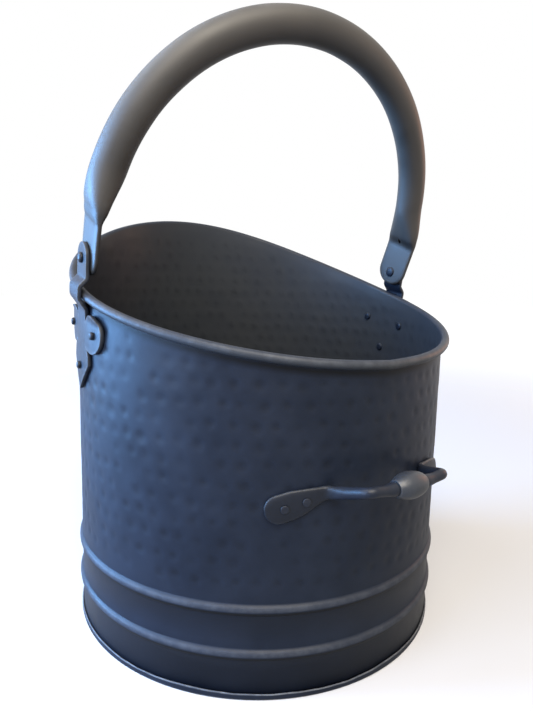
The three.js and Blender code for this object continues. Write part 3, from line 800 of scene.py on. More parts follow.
    def _blank(self) -> Object:
        """The smooth closed wall, before it is hammered.

        Returns:
            The object, with its marks.
        """
        fine, coarse = spread_turns(2 * self.columns), spread_turns(self.columns)
        skins = []
        for radius, curl, angles, count, bead_steps, curl_steps in zip(
                (self.radius, self.radius - self.sheet), (self.curl_inner, self.curl_outer),
                (fine, coarse), self.hammered_rows, self.bead_rows, self.curl_rows):
            skins.append(self._wall_rows(radius, angles, count, bead_steps)
                         + self._flare_rows(radius, angles) + self._curl_rows(curl, angles, curl_steps))
        outer, inner = skins[0], skins[1][::-1]
        out_points, out_hammered, out_edge = self._stack(outer, fine)
        in_points, in_hammered, in_edge = self._stack(inner, coarse)
        faces = strip(len(outer), 2 * self.columns)
        faces += strip(len(inner), self.columns, len(out_points))
        faces += self._stitches(len(outer), len(inner))
        # marks the inner face below the rolled edge, which the sheet coat paints paler as painted light
        inside = smooth(self._below(in_points), -self.curl_outer, 0.0)
        # the last mark paints shade under the rolled edge and under each bead
        marks = {"hammered": (out_hammered, in_hammered), "edge": (out_edge, in_edge),
                 "inside": (np.zeros(len(out_points)), inside),
                 "soot": (self._soot(out_points), np.zeros(len(in_points)))}
        return new_piece("hammered_wall", np.concatenate([out_points, in_points]), faces,
                         {label: np.concatenate(both) for label, both in marks.items()})

    def _below(self, points: Array) -> Array:
        """Depth of each point below the wired edge's centre."""
        return self.rim(np.arctan2(points[:, 0], points[:, 1])) - points[:, 2]

    def _soot(self, points: Array) -> Array:
        """Painted shade bands on the outer face, under the rolled edge and under each bead.

        Args:
            points: vertices of the outer face.

        Returns:
            How much painted shade each gets.
        """
        soot = band(self._below(points), *self.curl_soot)
        for middle in self.beads:
            soot += band(points[:, 2], *[middle + limit for limit in self.bead_soot])
        return soot

    def _stitches(self, outer_rows: int, inner_rows: int) -> list[list[int]]:
        """Faces that join the fine outer face to the coarse inner one, at the sheet's two edges.

        Args:
            outer_rows: rows of the outer face.
            inner_rows: rows of the inner face.

        Returns:
            The faces.
        """
        fine, coarse = 2 * self.columns, self.columns
        edge = (outer_rows - 1) * fine
        inner = outer_rows * fine
        last = inner + (inner_rows - 1) * coarse
        faces = []
        for k in range(coarse):
            n = (k + 1) % coarse
            a, b, c = 2 * k, 2 * k + 1, (2 * k + 2) % fine
            faces += [[edge + a, inner + k, edge + b], [edge + b, inner + k, inner + n],
                      [edge + b, inner + n, edge + c]]
            faces += [[last + k, a, b], [last + k, b, last + n], [last + n, b, c]]
        return faces

    def _hammer_tree(self) -> Tree:
        """Geometry tree that dents the wall in uneven rows and leaves it slightly wavy.

        Returns:
            The tree.
        """
        tree, g, given, out = new_tree(
            "hammer_rows", TreeKind.GEOMETRY,
            {"Geometry": "Geometry", "Wall radius": self.radius, "First row": 0.08,
             "Row pitch": self.row_pitch, "Rows": 20, "Dents in a row": self.dents_in_row,
             "Dent radius": self.dent_radius, "Dent depth": self.dent_depth, "Stray along": 0.12,
             "Stray up": 0.09, "Weakest": 0.45, "Smallest": 0.75, "Largest": 1.1, "Bowl": 1.6,
             "Missing": 0.05, "Waviness": 0.0006, "Waves": 42.0, "Seed": 7, "Finish": "Material"},
            {"Geometry": "Geometry"})

        def random(low: Any, high: Any, seed: int, number_of: Any) -> Socket:
            """Random number for a dent or row."""
            return g.node("FunctionNodeRandomValue", {
                2: low, 3: high, 7: number_of, 8: g.math("ADD", given["Seed"], float(seed))}).outputs[1]

        def stray(reach: str, seed: int) -> Socket:
            """How far a dent is off its place, either way."""
            return random(g.math("MULTIPLY", given[reach], -1.0), given[reach], seed, index)

        index = g.node("GeometryNodeInputIndex").outputs[0]
        row = g.math("FLOOR", g.math("DIVIDE", index, given["Dents in a row"]))
        along = g.math("ADD", index, g.math("ADD", random(0, 1, 1, row), stray("Stray along", 2)))
        turn = g.math("MULTIPLY", g.math("DIVIDE", along, given["Dents in a row"]), TURN)
        up = g.math("MULTIPLY_ADD", g.math("ADD", row, stray("Stray up", 3)),
                    given["Row pitch"], given["First row"])
        spot = g.node("ShaderNodeCombineXYZ", {
            0: g.math("MULTIPLY", g.math("SINE", turn), given["Wall radius"]),
            1: g.math("MULTIPLY", g.math("COSINE", turn), given["Wall radius"]), 2: up}).outputs[0]
        count = g.math("MULTIPLY", given["Rows"], given["Dents in a row"])
        points = g.node("GeometryNodePoints", {"Count": count, "Position": spot}).outputs[0]

        place = g.node("GeometryNodeInputPosition").outputs[0]
        parts = g.node("ShaderNodeSeparateXYZ", {0: place}).outputs
        flat = g.node("ShaderNodeCombineXYZ", {0: parts[0], 1: parts[1]}).outputs[0]
        outwards = g.vector("NORMALIZE", flat)
        lift = g.node("ShaderNodeCombineXYZ", {2: parts[2]}).outputs[0]
        on_wall = g.vector("ADD", g.scaled(outwards, given["Wall radius"]), lift)
        nearest = g.node("GeometryNodeSampleNearest", {0: points, 1: on_wall}).outputs[0]

        def sampled(value: Any, kind: str = "FLOAT") -> Socket:
            """Value at the nearest dent's centre."""
            return g.node("GeometryNodeSampleIndex", {0: points, 1: value, 2: nearest},
                          data_type=kind).outputs[0]

        away = g.vector("DISTANCE", on_wall, sampled(place, "FLOAT_VECTOR"), out=1)
        kept = g.math("GREATER_THAN", random(0, 1, 4, index), given["Missing"])
        depth = sampled(g.math("MULTIPLY", kept, random(given["Weakest"], 1, 5, index)))
        size = sampled(random(given["Smallest"], given["Largest"], 6, index))
        reach = g.math("MULTIPLY", size, given["Dent radius"])
        near = g.math("SUBTRACT", 1.0, g.math("POWER", g.math("DIVIDE", away, reach), 2.0), clamp=True)
        bowl = g.math("MULTIPLY", g.math("POWER", near, given["Bowl"]), depth)
        mask = g.node("GeometryNodeInputNamedAttribute", {0: "hammered"}).outputs[0]
        dent = g.math("MULTIPLY", bowl, mask)
        wave = g.math("SUBTRACT", g.noise(on_wall, given["Waves"], 2.0), 0.5)
        push = g.math("SUBTRACT", g.math("MULTIPLY", g.math("MULTIPLY", wave, given["Waviness"]), mask),
                      g.math("MULTIPLY", dent, given["Dent depth"]))
        moved = g.node("GeometryNodeSetPosition", {0: given["Geometry"], 3: g.scaled(outwards, push)})
        marked = g.node("GeometryNodeStoreNamedAttribute", {0: moved.outputs[0], 2: "dent", 3: dent})
        end_tree(g, marked.outputs[0], given["Finish"], out)
        return tree

    def wall(self) -> Object:
        """The hammered wall with its rolled edge.

        Returns:
            The piece.
        """
        piece = self._blank()
        bake(piece, self._hammer_tree(), {"Finish": SHEET_COAT.material()})
        piece.data.shade_smooth()
        return dress(piece, SHEET_COAT, Body.BUCKET, ["body_shell"])

    def pan(self) -> Object:
        """The base pan, whose turned-up flange is slightly wavy.

        Returns:
            The piece.
        """
        inner = self.radius + GAP
        outer = inner + self.sheet
        round_top = self.sheet / 2
        corner = [(outer - self.pan_corner * (1 - math.sin(t)), self.pan_corner * (1 - math.cos(t)))
                  for t in np.linspace(0, math.pi / 2, 6)]
        top = [(inner + round_top * (1 + math.cos(t)), self.pan_flange - round_top * (1 - math.sin(t)))
               for t in np.linspace(0, math.pi, 7)]
        flat = [*self.pan_rings, inner - self.pan_bend]
        profile = [*[(radius, 0) for radius in flat], *corner, *[(outer, z) for z in self.pan_steps], *top,
                   *[(radius, self.sheet) for radius in (inner, *reversed(flat))]]
        points, faces = lathe(profile, self.pan_sides)
        height = points[:, 2].copy()
        flange = np.hypot(points[:, 0], points[:, 1]) > self.radius
        rise = np.where(flange, smooth(height, self.sheet, self.pan_flange), 0.0)

        def uneven(level: float, pitch: float) -> Array:
            """Noise round the flange, the same at every height."""
            return bumps([(x, y, level) for x, y in plan], pitch)

        plan = points[:, :2].copy()
        slow, quick, sideways = self.pan_noise
        waves = uneven(0.3, slow) + 0.4 * uneven(0.7, quick)
        points[:, 2] -= self.pan_wave * rise * (0.9 + waves)
        points[:, :2] *= (1 - self.pan_pull * rise * (0.5 + uneven(1.9, sideways)))[:, None]
        # the edge marks paint highlights along the flange's top and its foot
        top_highlight, foot_worn = self.pan_worn
        worn = top_highlight * smooth(height, self.pan_flange - 0.0009, self.pan_flange - 0.0003)
        edge = np.where(rise > 0, worn, np.where(flange & (height > 0.0002), foot_worn, 0.0))
        piece = new_piece("base_pan_skin", points, faces, {"edge": edge})
        return dress(piece, SHEET_COAT, Body.BUCKET, ["base_pan"])


# ------------------------------------------------------------------ brackets
@dataclass
class Bracket:
    """Forged strap with a pointed leaf, two lobes, a joggle round the edge and a lug."""

    side: Side
    bucket: Bucket = field(default_factory=Bucket)
    tilt: float = math.radians(9)
    middle: Pair = (-0.001, 0.2326)     # forward and up, on the plate
    thickness: float = 0.0028
    lobe: float = 0.0135
    lobe_spread: float = 0.040
    rivet_spread: float = 0.046
    leaf_root: float = 0.011
    leaf_half: float = 0.017
    leaf_draw: float = 0.001
    leaf_shoulder: float = 0.0235
    leaf_tip: float = 0.045
    leaf_rivet: float = 0.027
    neck: float = 0.017
    lug: float = 0.022
    rim_above: float = 0.02734
    joggle_clear: float = 0.0006
    joggle_out: float = 0.0083
    joggle_in: float = 0.0055
    pivot_rise: float = 0.050
    lug_out: float = 0.0008             # the lug's inner face, outside the wall's outer one
    straighten: Pair = (0.008, 0.0145)  # where the curved plate turns into strap
    bend: float = 0.0018                # height over which each bend is rounded
    round_edge: float = 0.0004
    round_turns: tuple[float, ...] = (0.52, 1.05, math.pi / 2)
    spacing: float = 0.0012             # of the points along the outline, and inside it
    grid: float = 0.0019
    blows: float = 130                  # to a metre
    blow_depth: float = 0.00008
    blow_sink: float = 0.00005
    face_worn: float = 0.6              # how worn the rim of the outer face is

    @property
    def _inner(self) -> float:
        """Radius of the plate's inner face."""
        return self.bucket.radius + GAP

    def outline(self) -> Array:
        """Front view, anticlockwise: across and up from the plate's middle.

        Returns:
            Its points.
        """
        half = self.lobe_spread / 2
        upper = math.acos((self.neck / 2 - half) / self.lobe)
        lower = math.acos((self.leaf_root - half) / self.lobe)
        leaf = curved(np.array([self.leaf_half, -self.leaf_shoulder]),
                      np.array([self.leaf_half - self.leaf_draw, -self.leaf_shoulder / 2]),
                      np.array([half + self.lobe * math.cos(lower), -self.lobe * math.sin(lower)]), 9)
        arc = [(half + self.lobe * math.cos(t), self.lobe * math.sin(t))
               for t in np.linspace(-lower, upper, 46)[1:]]
        top = [(self.lug / 2 * math.cos(t), self.pivot_rise + self.lug / 2 * math.sin(t))
               for t in np.linspace(0, math.pi / 2, 16)]
        right = [(0.0, -self.leaf_tip), *map(tuple, leaf), *arc, (self.lug / 2, self.rim_above), *top]
        corners = right + [(-x, y) for x, y in reversed(right[1:-1])]
        points = []
        for first, second in zip(corners, corners[1:] + corners[:1]):
            pieces = max(1, math.ceil(math.dist(first, second) / self.spacing))
            points += [np.array(first) + (np.array(second) - first) * k / pieces for k in range(pieces)]
        return np.array(points)

    def _normals(self, outline: Array) -> Array:
        """Outward direction at each point of the outline, lengthened at corners.

        Args:
            outline: closed outline, anticlockwise.

        Returns:
            The directions.
        """
        along = np.roll(outline, -1, 0) - outline
        along /= np.linalg.norm(along, axis=1)[:, None]
        edge = np.stack([along[:, 1], -along[:, 0]], 1)
        both = edge + np.roll(edge, 1, 0)
        both /= np.linalg.norm(both, axis=1)[:, None]
        reach = np.clip((both * edge).sum(1), 0.6, 1)
        return both / reach[:, None]

    def _strap(self, up: Array) -> tuple[Array, Array]:
        """Distance out from the axis and slope of the strap's middle, its bends rounded.

        Args:
            up: heights on the front view.

        Returns:
            Distances and slopes.
        """
        middle = self.thickness / 2
        half = self.bucket.curl_outer + self.joggle_clear
        plate_top = self.rim_above - half - self.joggle_out
        heights = [-1, plate_top, self.rim_above - half, self.rim_above + half,
                   self.rim_above + half + self.joggle_in, 1]
        on_plate, at_lug = self._inner + middle, self.bucket.radius + self.lug_out + middle
        round_rim = self.bucket.wire_circle + self.bucket.curl_outer + GAP + middle
        outs = [on_plate, on_plate, round_rim, round_rim, at_lug, at_lug]
        offsets = np.linspace(-self.bend / 2, self.bend / 2, 9)
        rounded = np.mean([np.interp(up + offset, heights, outs) for offset in offsets], 0)
        slope = (np.interp(up + self.bend / 2, heights, outs)
                 - np.interp(up - self.bend / 2, heights, outs)) / self.bend
        return rounded, slope

    def _tilted(self, across: Any, up: Any) -> tuple:
        """Forward and height of spots of the front view, with the bracket's tilt."""
        c, s = math.cos(self.tilt), math.sin(self.tilt)
        return self.middle[0] + across * c - up * s, self.middle[1] + across * s + up * c

    def _place(self, flat: Array, depth: Array) -> Array:
        """Bend points of the front view to shape.

        Args:
            flat: across and up of each point.
            depth: distance of each from the strap's middle, outwards.

        Returns:
            Points in the frame.
        """
        out, slope = self._strap(flat[:, 1])
        steep = np.sqrt(1 + slope ** 2)
        forward, height = self._tilted(flat[:, 0], flat[:, 1] - depth * slope / steep)
        strap_x = out + depth / steep
        circle = self._inner + self.thickness / 2 + depth
        plate_x = np.sqrt(np.maximum(circle ** 2 - forward ** 2, 0))
        share = smooth(flat[:, 1], *self.straighten)
        return np.stack([self.side.value * (plate_x * (1 - share) + strap_x * share), forward, height], 1)

    def spot(self, across: float, up: float) -> tuple[Vector, Vector]:
        """Seat of a plate rivet's head, and the way that the rivet points."""
        seat = Vector(self._place(np.array([[across, up]]), np.array([self.thickness / 2]))[0])
        return seat, Vector((seat.x, seat.y, 0)).normalized()

    def rivet_spots(self) -> list[tuple[Vector, Vector]]:
        """Seats and directions of the three plate rivets."""
        half = self.rivet_spread / 2
        return [self.spot(half, 0), self.spot(-half, 0), self.spot(0, -self.leaf_rivet)]

    def pivot(self) -> Vector:
        """The bail's pivot on this side, on the lug's outer face."""
        out = self.side.value * (self.bucket.radius + self.lug_out + self.thickness)
        return Vector((out, *self._tilted(0.0, self.pivot_rise)))

    def build(self) -> Object:
        """The strap, its edges rounded and its faces slightly uneven.

        Returns:
            The piece.
        """
        outline = self.outline()
        normals = self._normals(outline)
        count, half, r = len(outline), self.thickness / 2, self.round_edge
        face, triangles, rim = self._fill(outline - normals * r)
        rings = [(r * (1 - math.sin(t)), half - r * (1 - math.cos(t))) for t in self.round_turns]
        levels = rings + [(inset, -depth) for inset, depth in reversed(rings)]
        flat = [face, *[outline - normals * inset for inset, _ in levels], face]
        uneven = bumps([(x, y, 0.2) for x, y in face], self.blows) * self.blow_depth
        depth = [half + uneven - self.blow_sink, *[np.full(count, d) for _, d in levels],
                 np.full(len(face), -half)]
        edge = [np.zeros(len(face)), *[np.ones(count)] * len(rings), *[np.zeros(count)] * len(rings),
                np.zeros(len(face))]
        edge[0][rim] = self.face_worn
        points = self._place(np.concatenate(flat), np.concatenate(depth))
        faces = self._faces(triangles, rim, len(face), count, len(levels))
        if self.side is Side.LEFT:
            faces = [list(reversed(corner)) for corner in faces]
        piece = new_piece(f"{self.side.label}_bracket_skin", points, faces, {"edge": np.concatenate(edge)})
        return dress(piece, STRAP_COAT, Body.BUCKET, [f"{self.side.label}_bracket"])

    def _fill(self, outline: Array) -> tuple[Array, list[list[int]], list[int]]:
        """Fill an outline with even triangles.

        Args:
            outline: closed outline, anticlockwise.

        Returns:
            Vertices, triangles and the vertex at each point of the outline.
        """
        low, high = outline.min(0), outline.max(0)
        inner = []
        for x in np.arange(low[0], high[0], self.grid):
            for y in np.arange(low[1], high[1], self.grid):
                clear = np.linalg.norm(outline - (x, y), axis=1).min() > self.spacing
                if clear and self._inside(outline, x, y):
                    inner.append((x, y))
        places = [Vector(point) * TO_MM for point in [*outline, *inner]]
        count = len(outline)
        edges = [(k, (k + 1) % count) for k in range(count)]
        points, _, triangles, origins, _, _ = delaunay_2d_cdt(places, edges, [], 1, 1e-5)
        found = {origin: index for index, group in enumerate(origins) for origin in group}
        return np.array([tuple(p) for p in points]) / TO_MM, triangles, [found[k] for k in range(count)]

    @staticmethod
    def _inside(outline: Array, x: float, y: float) -> bool:
        """Whether a point lies inside a closed outline.

        Args:
            outline: points of the outline.
            x: how far across the point is.
            y: how far up.

        Returns:
            True for a point inside.
        """
        ahead = np.roll(outline, -1, 0)
        crosses = (outline[:, 1] > y) != (ahead[:, 1] > y)
        with np.errstate(divide="ignore", invalid="ignore"):
            rise = (y - outline[:, 1]) * (ahead[:, 0] - outline[:, 0]) / (ahead[:, 1] - outline[:, 1])
        return bool(np.count_nonzero(crosses & (x < outline[:, 0] + rise)) % 2)

    @staticmethod
    def _faces(triangles: list, rim: list[int], face: int, count: int, levels: int) -> list[list[int]]:
        """Front and back triangles, and the quads of the rounded edge between them.

        Args:
            triangles: of the front.
            rim: the front's vertex at each point of the outline.
            face: vertices of the front.
            count: points of the outline.
            levels: rings round the edge.

        Returns:
            The faces.
        """
        back = face + levels * count
        rings = [rim] + [[face + level * count + k for k in range(count)] for level in range(levels)]
        rings.append([back + k for k in rim])
        faces = [list(corner) for corner in triangles]
        faces += [[back + k for k in reversed(corner)] for corner in triangles]
        for near, far in zip(rings, rings[1:]):
            faces += [[near[k], far[k], far[(k + 1) % count], near[(k + 1) % count]] for k in range(count)]
        return faces


# ------------------------------------------------------------------ bail
@dataclass
class Bail:
    """Bent tube with two flattened ears, leaning back on its pivots."""

    pivot: Pair = (-0.0088217, 0.2819844)    # forward and up
    lean: float = math.radians(22)
    diameter: float = 0.024
    radius: float = 0.1445
    crown: float = 0.030
    ear_thickness: float = 0.005
    ear_width: float = 0.034
    ear_step: float = 0.0035
    ear_below: float = 0.0115
    ear_round: float = 0.0135
    ear_flat: float = 0.025
    ear_power: float = 3.4              # squareness of its section; the tube's is 2
    # painted shade on the ears, fading over this run beyond them
    ear_soot: float = 0.5
    ear_soot_run: float = 0.02
    ear_worn: float = 0.3
    tip_round: float = 0.0016
    ear_stations: tuple[float, ...] = (0.004, 0.015, 0.035, 0.07, 0.12, 0.19, 0.28, 0.4, 0.55, 0.75)
    pinch: float = 0.040
    inner_pinch: float = 0.036
    inner_step: Pair = (0.001, 0.008)    # the first swelling of the inner face
    inner_first: float = 0.16                           # its share of the whole
    vent: float = 0.004
    vent_rise: float = 0.0045
    crease: float = 0.0008
    dimple: Pair = (0.0036, 0.0026)      # beyond the ear, and its width, as below
    dimple_half: float = 0.007
    fold: Pair = (0.009, 0.0032)
    fold_depth: float = 0.7                             # as a share of the crease
    # painted shade in the folds of the pinches, and where it is darkest
    fold_soot: float = 0.45
    fold_soot_at: Pair = (0.006, 0.004)
    dings: float = 45                                   # to a metre
    ding: float = 0.012
    bore: float = 0.0056
    plug: float = 0.01                                  # half length of what cuts the bore
    plug_sides: int = 28
    sides: int = 48

    @property
    def _leg(self) -> float:
        """Length of the straight leg, from the ear's end to the half circle."""
        return self.crown + self.ear_below

    @property
    def _length(self) -> float:
        """Length of the tube's middle line."""
        return 2 * self._leg + math.pi * self.radius

    @property
    def _ear(self) -> float:
        """Length of the ear, from its end to the pinch."""
        return self.ear_round + self.ear_flat

    def _spot(self, distance: float) -> tuple[Array, Array]:
        """Place on the middle line and the outward direction there, in the bail's own plane.

        Args:
            distance: along the middle line.

        Returns:
            The place and the direction.
        """
        turn = min(max((distance - self._leg) / self.radius, 0), math.pi)
        below = max(self._leg - distance, self._leg - (self._length - distance), 0)
        outwards = np.array([-math.cos(turn), 0, math.sin(turn)])
        return self.radius * outwards + np.array([0, 0, self.crown - below]), outwards

    def _share(self, from_end: float) -> float:
        """How far along the pinch a section is, from 0 at the ear to 1 at the round tube."""
        return min(max((from_end - self._ear) / self.pinch, 0), 1)

    def _section(self, from_end: float) -> tuple[float, float, float, float]:
        """Half thickness inwards and outwards, half width and squareness of the tube.

        Args:
            from_end: distance from the tube's end.

        Returns:
            The four measures.
        """
        half, thin, wide = self.diameter / 2, self.ear_thickness / 2, self.ear_width / 2
        if from_end < self.ear_round:
            tip = thin * round_end(from_end, self.tip_round)
            return tip, tip, wide * round_end(from_end, self.ear_round), self.ear_power
        beyond, share = from_end - self._ear, self._share(from_end)
        outer = math.sin(share * TURN / 4)
        rest = math.sin(min(max(beyond / self.inner_pinch, 0), 1) * TURN / 4)
        inner = self.inner_first * smooth(beyond, *self.inner_step) + (1 - self.inner_first) * rest
        return (thin + (half - thin) * inner, thin + (half - thin) * outer,
                wide + (half - wide) * smooth(share, 0, 1), self.ear_power + (2 - self.ear_power) * outer)

    def _press(self, from_end: float, along: Array) -> tuple[Array, Array]:
        """How far the pinch's folds are pressed in, on the inward and the outward face.

        Args:
            from_end: distance from the tube's end.
            along: distance of each vertex from the middle of the face.

        Returns:
            Depths on the two faces.
        """
        beyond = from_end - self._ear
        dimple = self.crease * bell(beyond, *self.dimple)
        fold = self.fold_depth * self.crease * bell(beyond, *self.fold)
        return dimple * np.exp(-(along / self.dimple_half) ** 2), np.full_like(along, fold)

    def _soot(self, from_end: float) -> float:
        """Painted shade on the tube: on its ears, and most of all in the folds of its pinches.

        Args:
            from_end: distance along the tube from its nearest end.

        Returns:
            From 0 to 1.
        """
        beyond = from_end - self._ear
        ear = self.ear_soot * (1 - smooth(beyond, 0.0, self.ear_soot_run))
        return ear + self.fold_soot * bell(beyond, *self.fold_soot_at)

    def _stations(self) -> list[float]:
        """Distances along the tube, close together in the ears and the pinches.

        Returns:
            The distances.
        """
        ends = list(self.ear_round * np.array(self.ear_stations))
        flat = list(np.linspace(self.ear_round, self._ear, 13)[:-1])
        pinch = list(np.linspace(self._ear, self._ear + self.pinch, 34))
        arc = list(np.linspace(self._ear + self.pinch, self._length / 2, 64)[1:])
        half = ends + flat + pinch + arc
        return half + [self._length - d for d in reversed(half[:-1])]

    def _lean(self, points: Array) -> Array:
        """Turn points of the bail's own plane to the lean and the pivots.

        Args:
            points: in the bail's own plane.

        Returns:
            The points in the frame.
        """
        c, s = math.cos(self.lean), math.sin(self.lean)
        x, y, z = points.T
        return np.stack([x, self.pivot[0] + y * c - z * s, self.pivot[1] + y * s + z * c], 1)

    def _cutter(self) -> Object:
        """Drain holes and pivot holes, as one object of four plugs along X.

        Returns:
            The object.
        """
        form = bmesh.new()
        outer = self.radius + self.ear_step
        vent_up = self._ear + self.vent_rise - self.ear_below
        holes = ((self.bore, outer - self.plug, outer + self.plug, 0.0),
                 (self.vent, outer - 2 * self.plug, outer - 0.0005, vent_up))      # the inner face only
        for sign in (-1, 1):
            for diameter, near, far, up in holes:
                place = Matrix.Translation((sign * (near + far) / 2, 0, up))
                bmesh.ops.create_cone(
                    form, cap_ends=True, segments=self.plug_sides, radius1=diameter / 2,
                    radius2=diameter / 2, depth=far - near,
                    matrix=place @ Matrix.Rotation(TURN / 4, 4, "Y"))
        mesh = bpy.data.meshes.new("bail_cutter")
        form.to_mesh(mesh)
        form.free()
        points = self._lean(np.array([vertex.co for vertex in mesh.vertices]))
        mesh.vertices.foreach_set("co", points.ravel())
        return add_object("bail_cutter", mesh)

    def build(self) -> Object:
        """The tube, with its creased pinches, drain holes and pivot holes.

        Returns:
            The piece.
        """
        rings, edge, soot = [], [], []
        sine = np.abs(np.sin(spread_turns(self.sides, 0.5)))
        stations = self._stations()
        for distance in stations:
            from_end = min(distance, self._length - distance)
            centre, outwards = self._spot(distance)
            inner, outer, wide, power = self._section(from_end)
            share = self._share(from_end)
            centre = centre + outwards * self.ear_step * (1 - smooth(share, 0, 1))
            across, along = oval(self.sides, power)
            along = along * wide
            press_in, press_out = self._press(from_end, along)
            across = across * np.where(across > 0, outer - press_out, inner - press_in)
            rings.append(centre + across[:, None] * outwards + along[:, None] * np.array([0, 1, 0]))
            edge.append(sine ** 8 * (1 - share) * self.ear_worn)
            soot.append(np.full(self.sides, self._soot(from_end)))
        middle = np.repeat([ring.mean(0) for ring in rings], self.sides, 0)
        points = beaten(np.concatenate(rings), middle, self.dings, self.ding)
        piece = new_piece("bail_tube", self._lean(points), tube_faces(len(stations), self.sides),
                          {"edge": np.concatenate(edge), "soot": np.concatenate(soot)})
        cutter = self._cutter()
        modifier = piece.modifiers.new("holes", "BOOLEAN")
        modifier.object, modifier.solver = cutter, "EXACT"
        settle(piece)
        bpy.data.objects.remove(cutter)
        piece.data.set_sharp_from_angle(angle=SHARP)
        return dress(piece, TUBE_COAT, Body.BAIL, ["bail_handle"])


# ------------------------------------------------------------------ tipping handle
@dataclass
class TippingHandle:
    """Forged rod with two flattened feet on the wall, and the oval grip on its middle."""

    bucket: Bucket = field(default_factory=Bucket)
    rod: float = 0.007
    root: float = 0.0086
    standoff: float = 0.024
    height: float = 0.1453
    elbow_lift: float = 0.0013
    elbow: float = 0.033
    elbow_round: float = 0.004
    root_angle: float = 16.5
    tip_angle: float = 31.2
    root_turn: float = 2.0
    root_height: float = 0.1388
    tip_height: float = 0.1272
    root_lift: float = 0.0006           # the rod leaves the foot along its upper edge
    step: float = 0.00025               # between the points of the middle line
    soften: int = 20                    # steps over which bends are smoothed, each way
    flare: float = 0.0010               # the rod thickens where it meets the grip
    flare_run: float = 0.006
    foot_thickness: float = 0.0032
    foot_width: float = 0.019
    foot_power: float = 3.2             # squareness of its section; the rod's is 2
    foot_worn: float = 0.6
    # painted shade on the flattened feet, where they lie against the wall
    foot_soot: float = 0.45
    blows: float = 120                  # to a metre
    blow: float = 0.02
    tip_round: float = 0.0012
    tip_stations: tuple[float, ...] = (0.004, 0.02, 0.05, 0.1, 0.17, 0.26, 0.37, 0.5, 0.65, 0.82)
    rivet_angles: Pair = (21.4, 26.5)
    rivet_drop: float = 0.0005
    ball_length: float = 0.025
    ball_diameter: float = 0.0172
    ball_lip: float = 0.0012
    ball_sides: int = 56
    sides: int = 32

    @property
    def _reach(self) -> float:
        """Distance of the rod's middle behind the bucket's axis."""
        return self.bucket.radius + self.standoff

    @property
    def _foot_circle(self) -> float:
        """Radius of the middle of the feet."""
        return self.bucket.radius + GAP + self.foot_thickness / 2

    @staticmethod
    def _back(angle: float, radius: float, height: float) -> Array:
        """Spot on the back of the bucket, from an angle in degrees towards +X."""
        turn = math.radians(angle)
        return np.array([radius * math.sin(turn), -radius * math.cos(turn), height])

    def _foot_height(self, angle: float) -> float:
        """Height of a foot's middle line."""
        share = (angle - self.root_angle) / (self.tip_angle - self.root_angle)
        return self.root_height + (self.tip_height - self.root_height) * share

    def _foot(self, angle: float) -> Array:
        """Spot on a foot's middle line."""
        return self._back(angle, self._foot_circle, self._foot_height(angle))

    def _middle_line(self) -> Array:
        """Evenly spaced points down the middle of the right half, from the foot's tip to the grip.

        Returns:
            The points.
        """
        foot = np.array([self._foot(angle) for angle in np.linspace(self.tip_angle, self.root_angle, 60)])
        corner = np.array([self.elbow, -self._reach, self.height + self.elbow_lift])
        inwards = (foot[-1] - corner) / np.linalg.norm(foot[-1] - corner)
        before = corner + inwards * self.elbow_round
        after = corner - np.array([self.elbow_round, 0, 0])
        ball = np.array([self.ball_length / 2 + GAP, -self._reach, self.height])
        between = np.array([(ball[0] + after[0]) / 2, ball[1], ball[2]])
        lift = self._back(self.root_angle - self.root_turn, self._foot_circle + self.rod / 2,
                          self.root_height)
        bends = ((foot[-1], lift, before), (before, corner, after), (after, between, ball))
        line = np.concatenate([foot, *[curved(*bend, 60) for bend in bends],
                               [np.array([0, -self._reach, self.height])]])
        run = np.concatenate([[0], np.cumsum(np.linalg.norm(np.diff(line, axis=0), axis=1))])
        even = np.arange(0, run[-1], self.step)
        line = np.stack([np.interp(even, run, line[:, axis]) for axis in range(3)], 1)
        half = self.soften
        padded = np.concatenate([2 * line[0] - line[half:0:-1], line, 2 * line[-1] - line[-2:-half - 2:-1]])
        kernel = np.hanning(2 * half + 3)[1:-1]
        kernel /= kernel.sum()
        return np.stack([np.convolve(padded[:, axis], kernel, "valid") for axis in range(3)], 1)

    def _sections(self) -> list[tuple]:
        """Centre, direction, half sizes and squareness along the right half, from the foot's tip.

        Returns:
            One row for each section.
        """
        line = self._middle_line()
        foot = math.radians(self.tip_angle - self.root_angle) * self._foot_circle
        whole = (len(line) - 1) * self.step
        half, thin_foot, rod = self.foot_width / 2, self.foot_thickness / 2, self.rod / 2
        tip = list(half * np.array(self.tip_stations))
        face = whole - self.ball_length / 2 - GAP
        outside = list(np.linspace(half, face - 0.00005, 112))
        sections = []
        for run in tip + outside + [face, (face + whole) / 2, whole]:
            at = run / self.step
            place = np.array([np.interp(at, np.arange(len(line)), line[:, k]) for k in range(3)])
            near = int(np.clip(at, 3, len(line) - 4))
            direction = line[near + 3] - line[near - 3]
            width = half * round_end(run, half)
            tall = width + (self.root / 2 - width) * smooth(run / foot, 0.4, 1.12)
            tall += (rod - self.root / 2) * smooth((run - foot) / (whole - foot), 0, 0.6)
            swell = smooth((run - foot * 0.9) / (whole - foot), 0, 0.3)
            thin = thin_foot * round_end(run, self.tip_round) + (rod - thin_foot) * swell
            if run < face:
                flare = self.flare * bell(face - run, 0, self.flare_run)
                thin, tall = thin + flare, tall + flare
            place[2] += self.root_lift * smooth(run / foot, 0.5, 0.92) * (1 - smooth(run / foot, 1.1, 1.9))
            power = self.foot_power + (2 - self.foot_power) * swell
            sections.append((place, direction, thin, tall, power))
        return sections

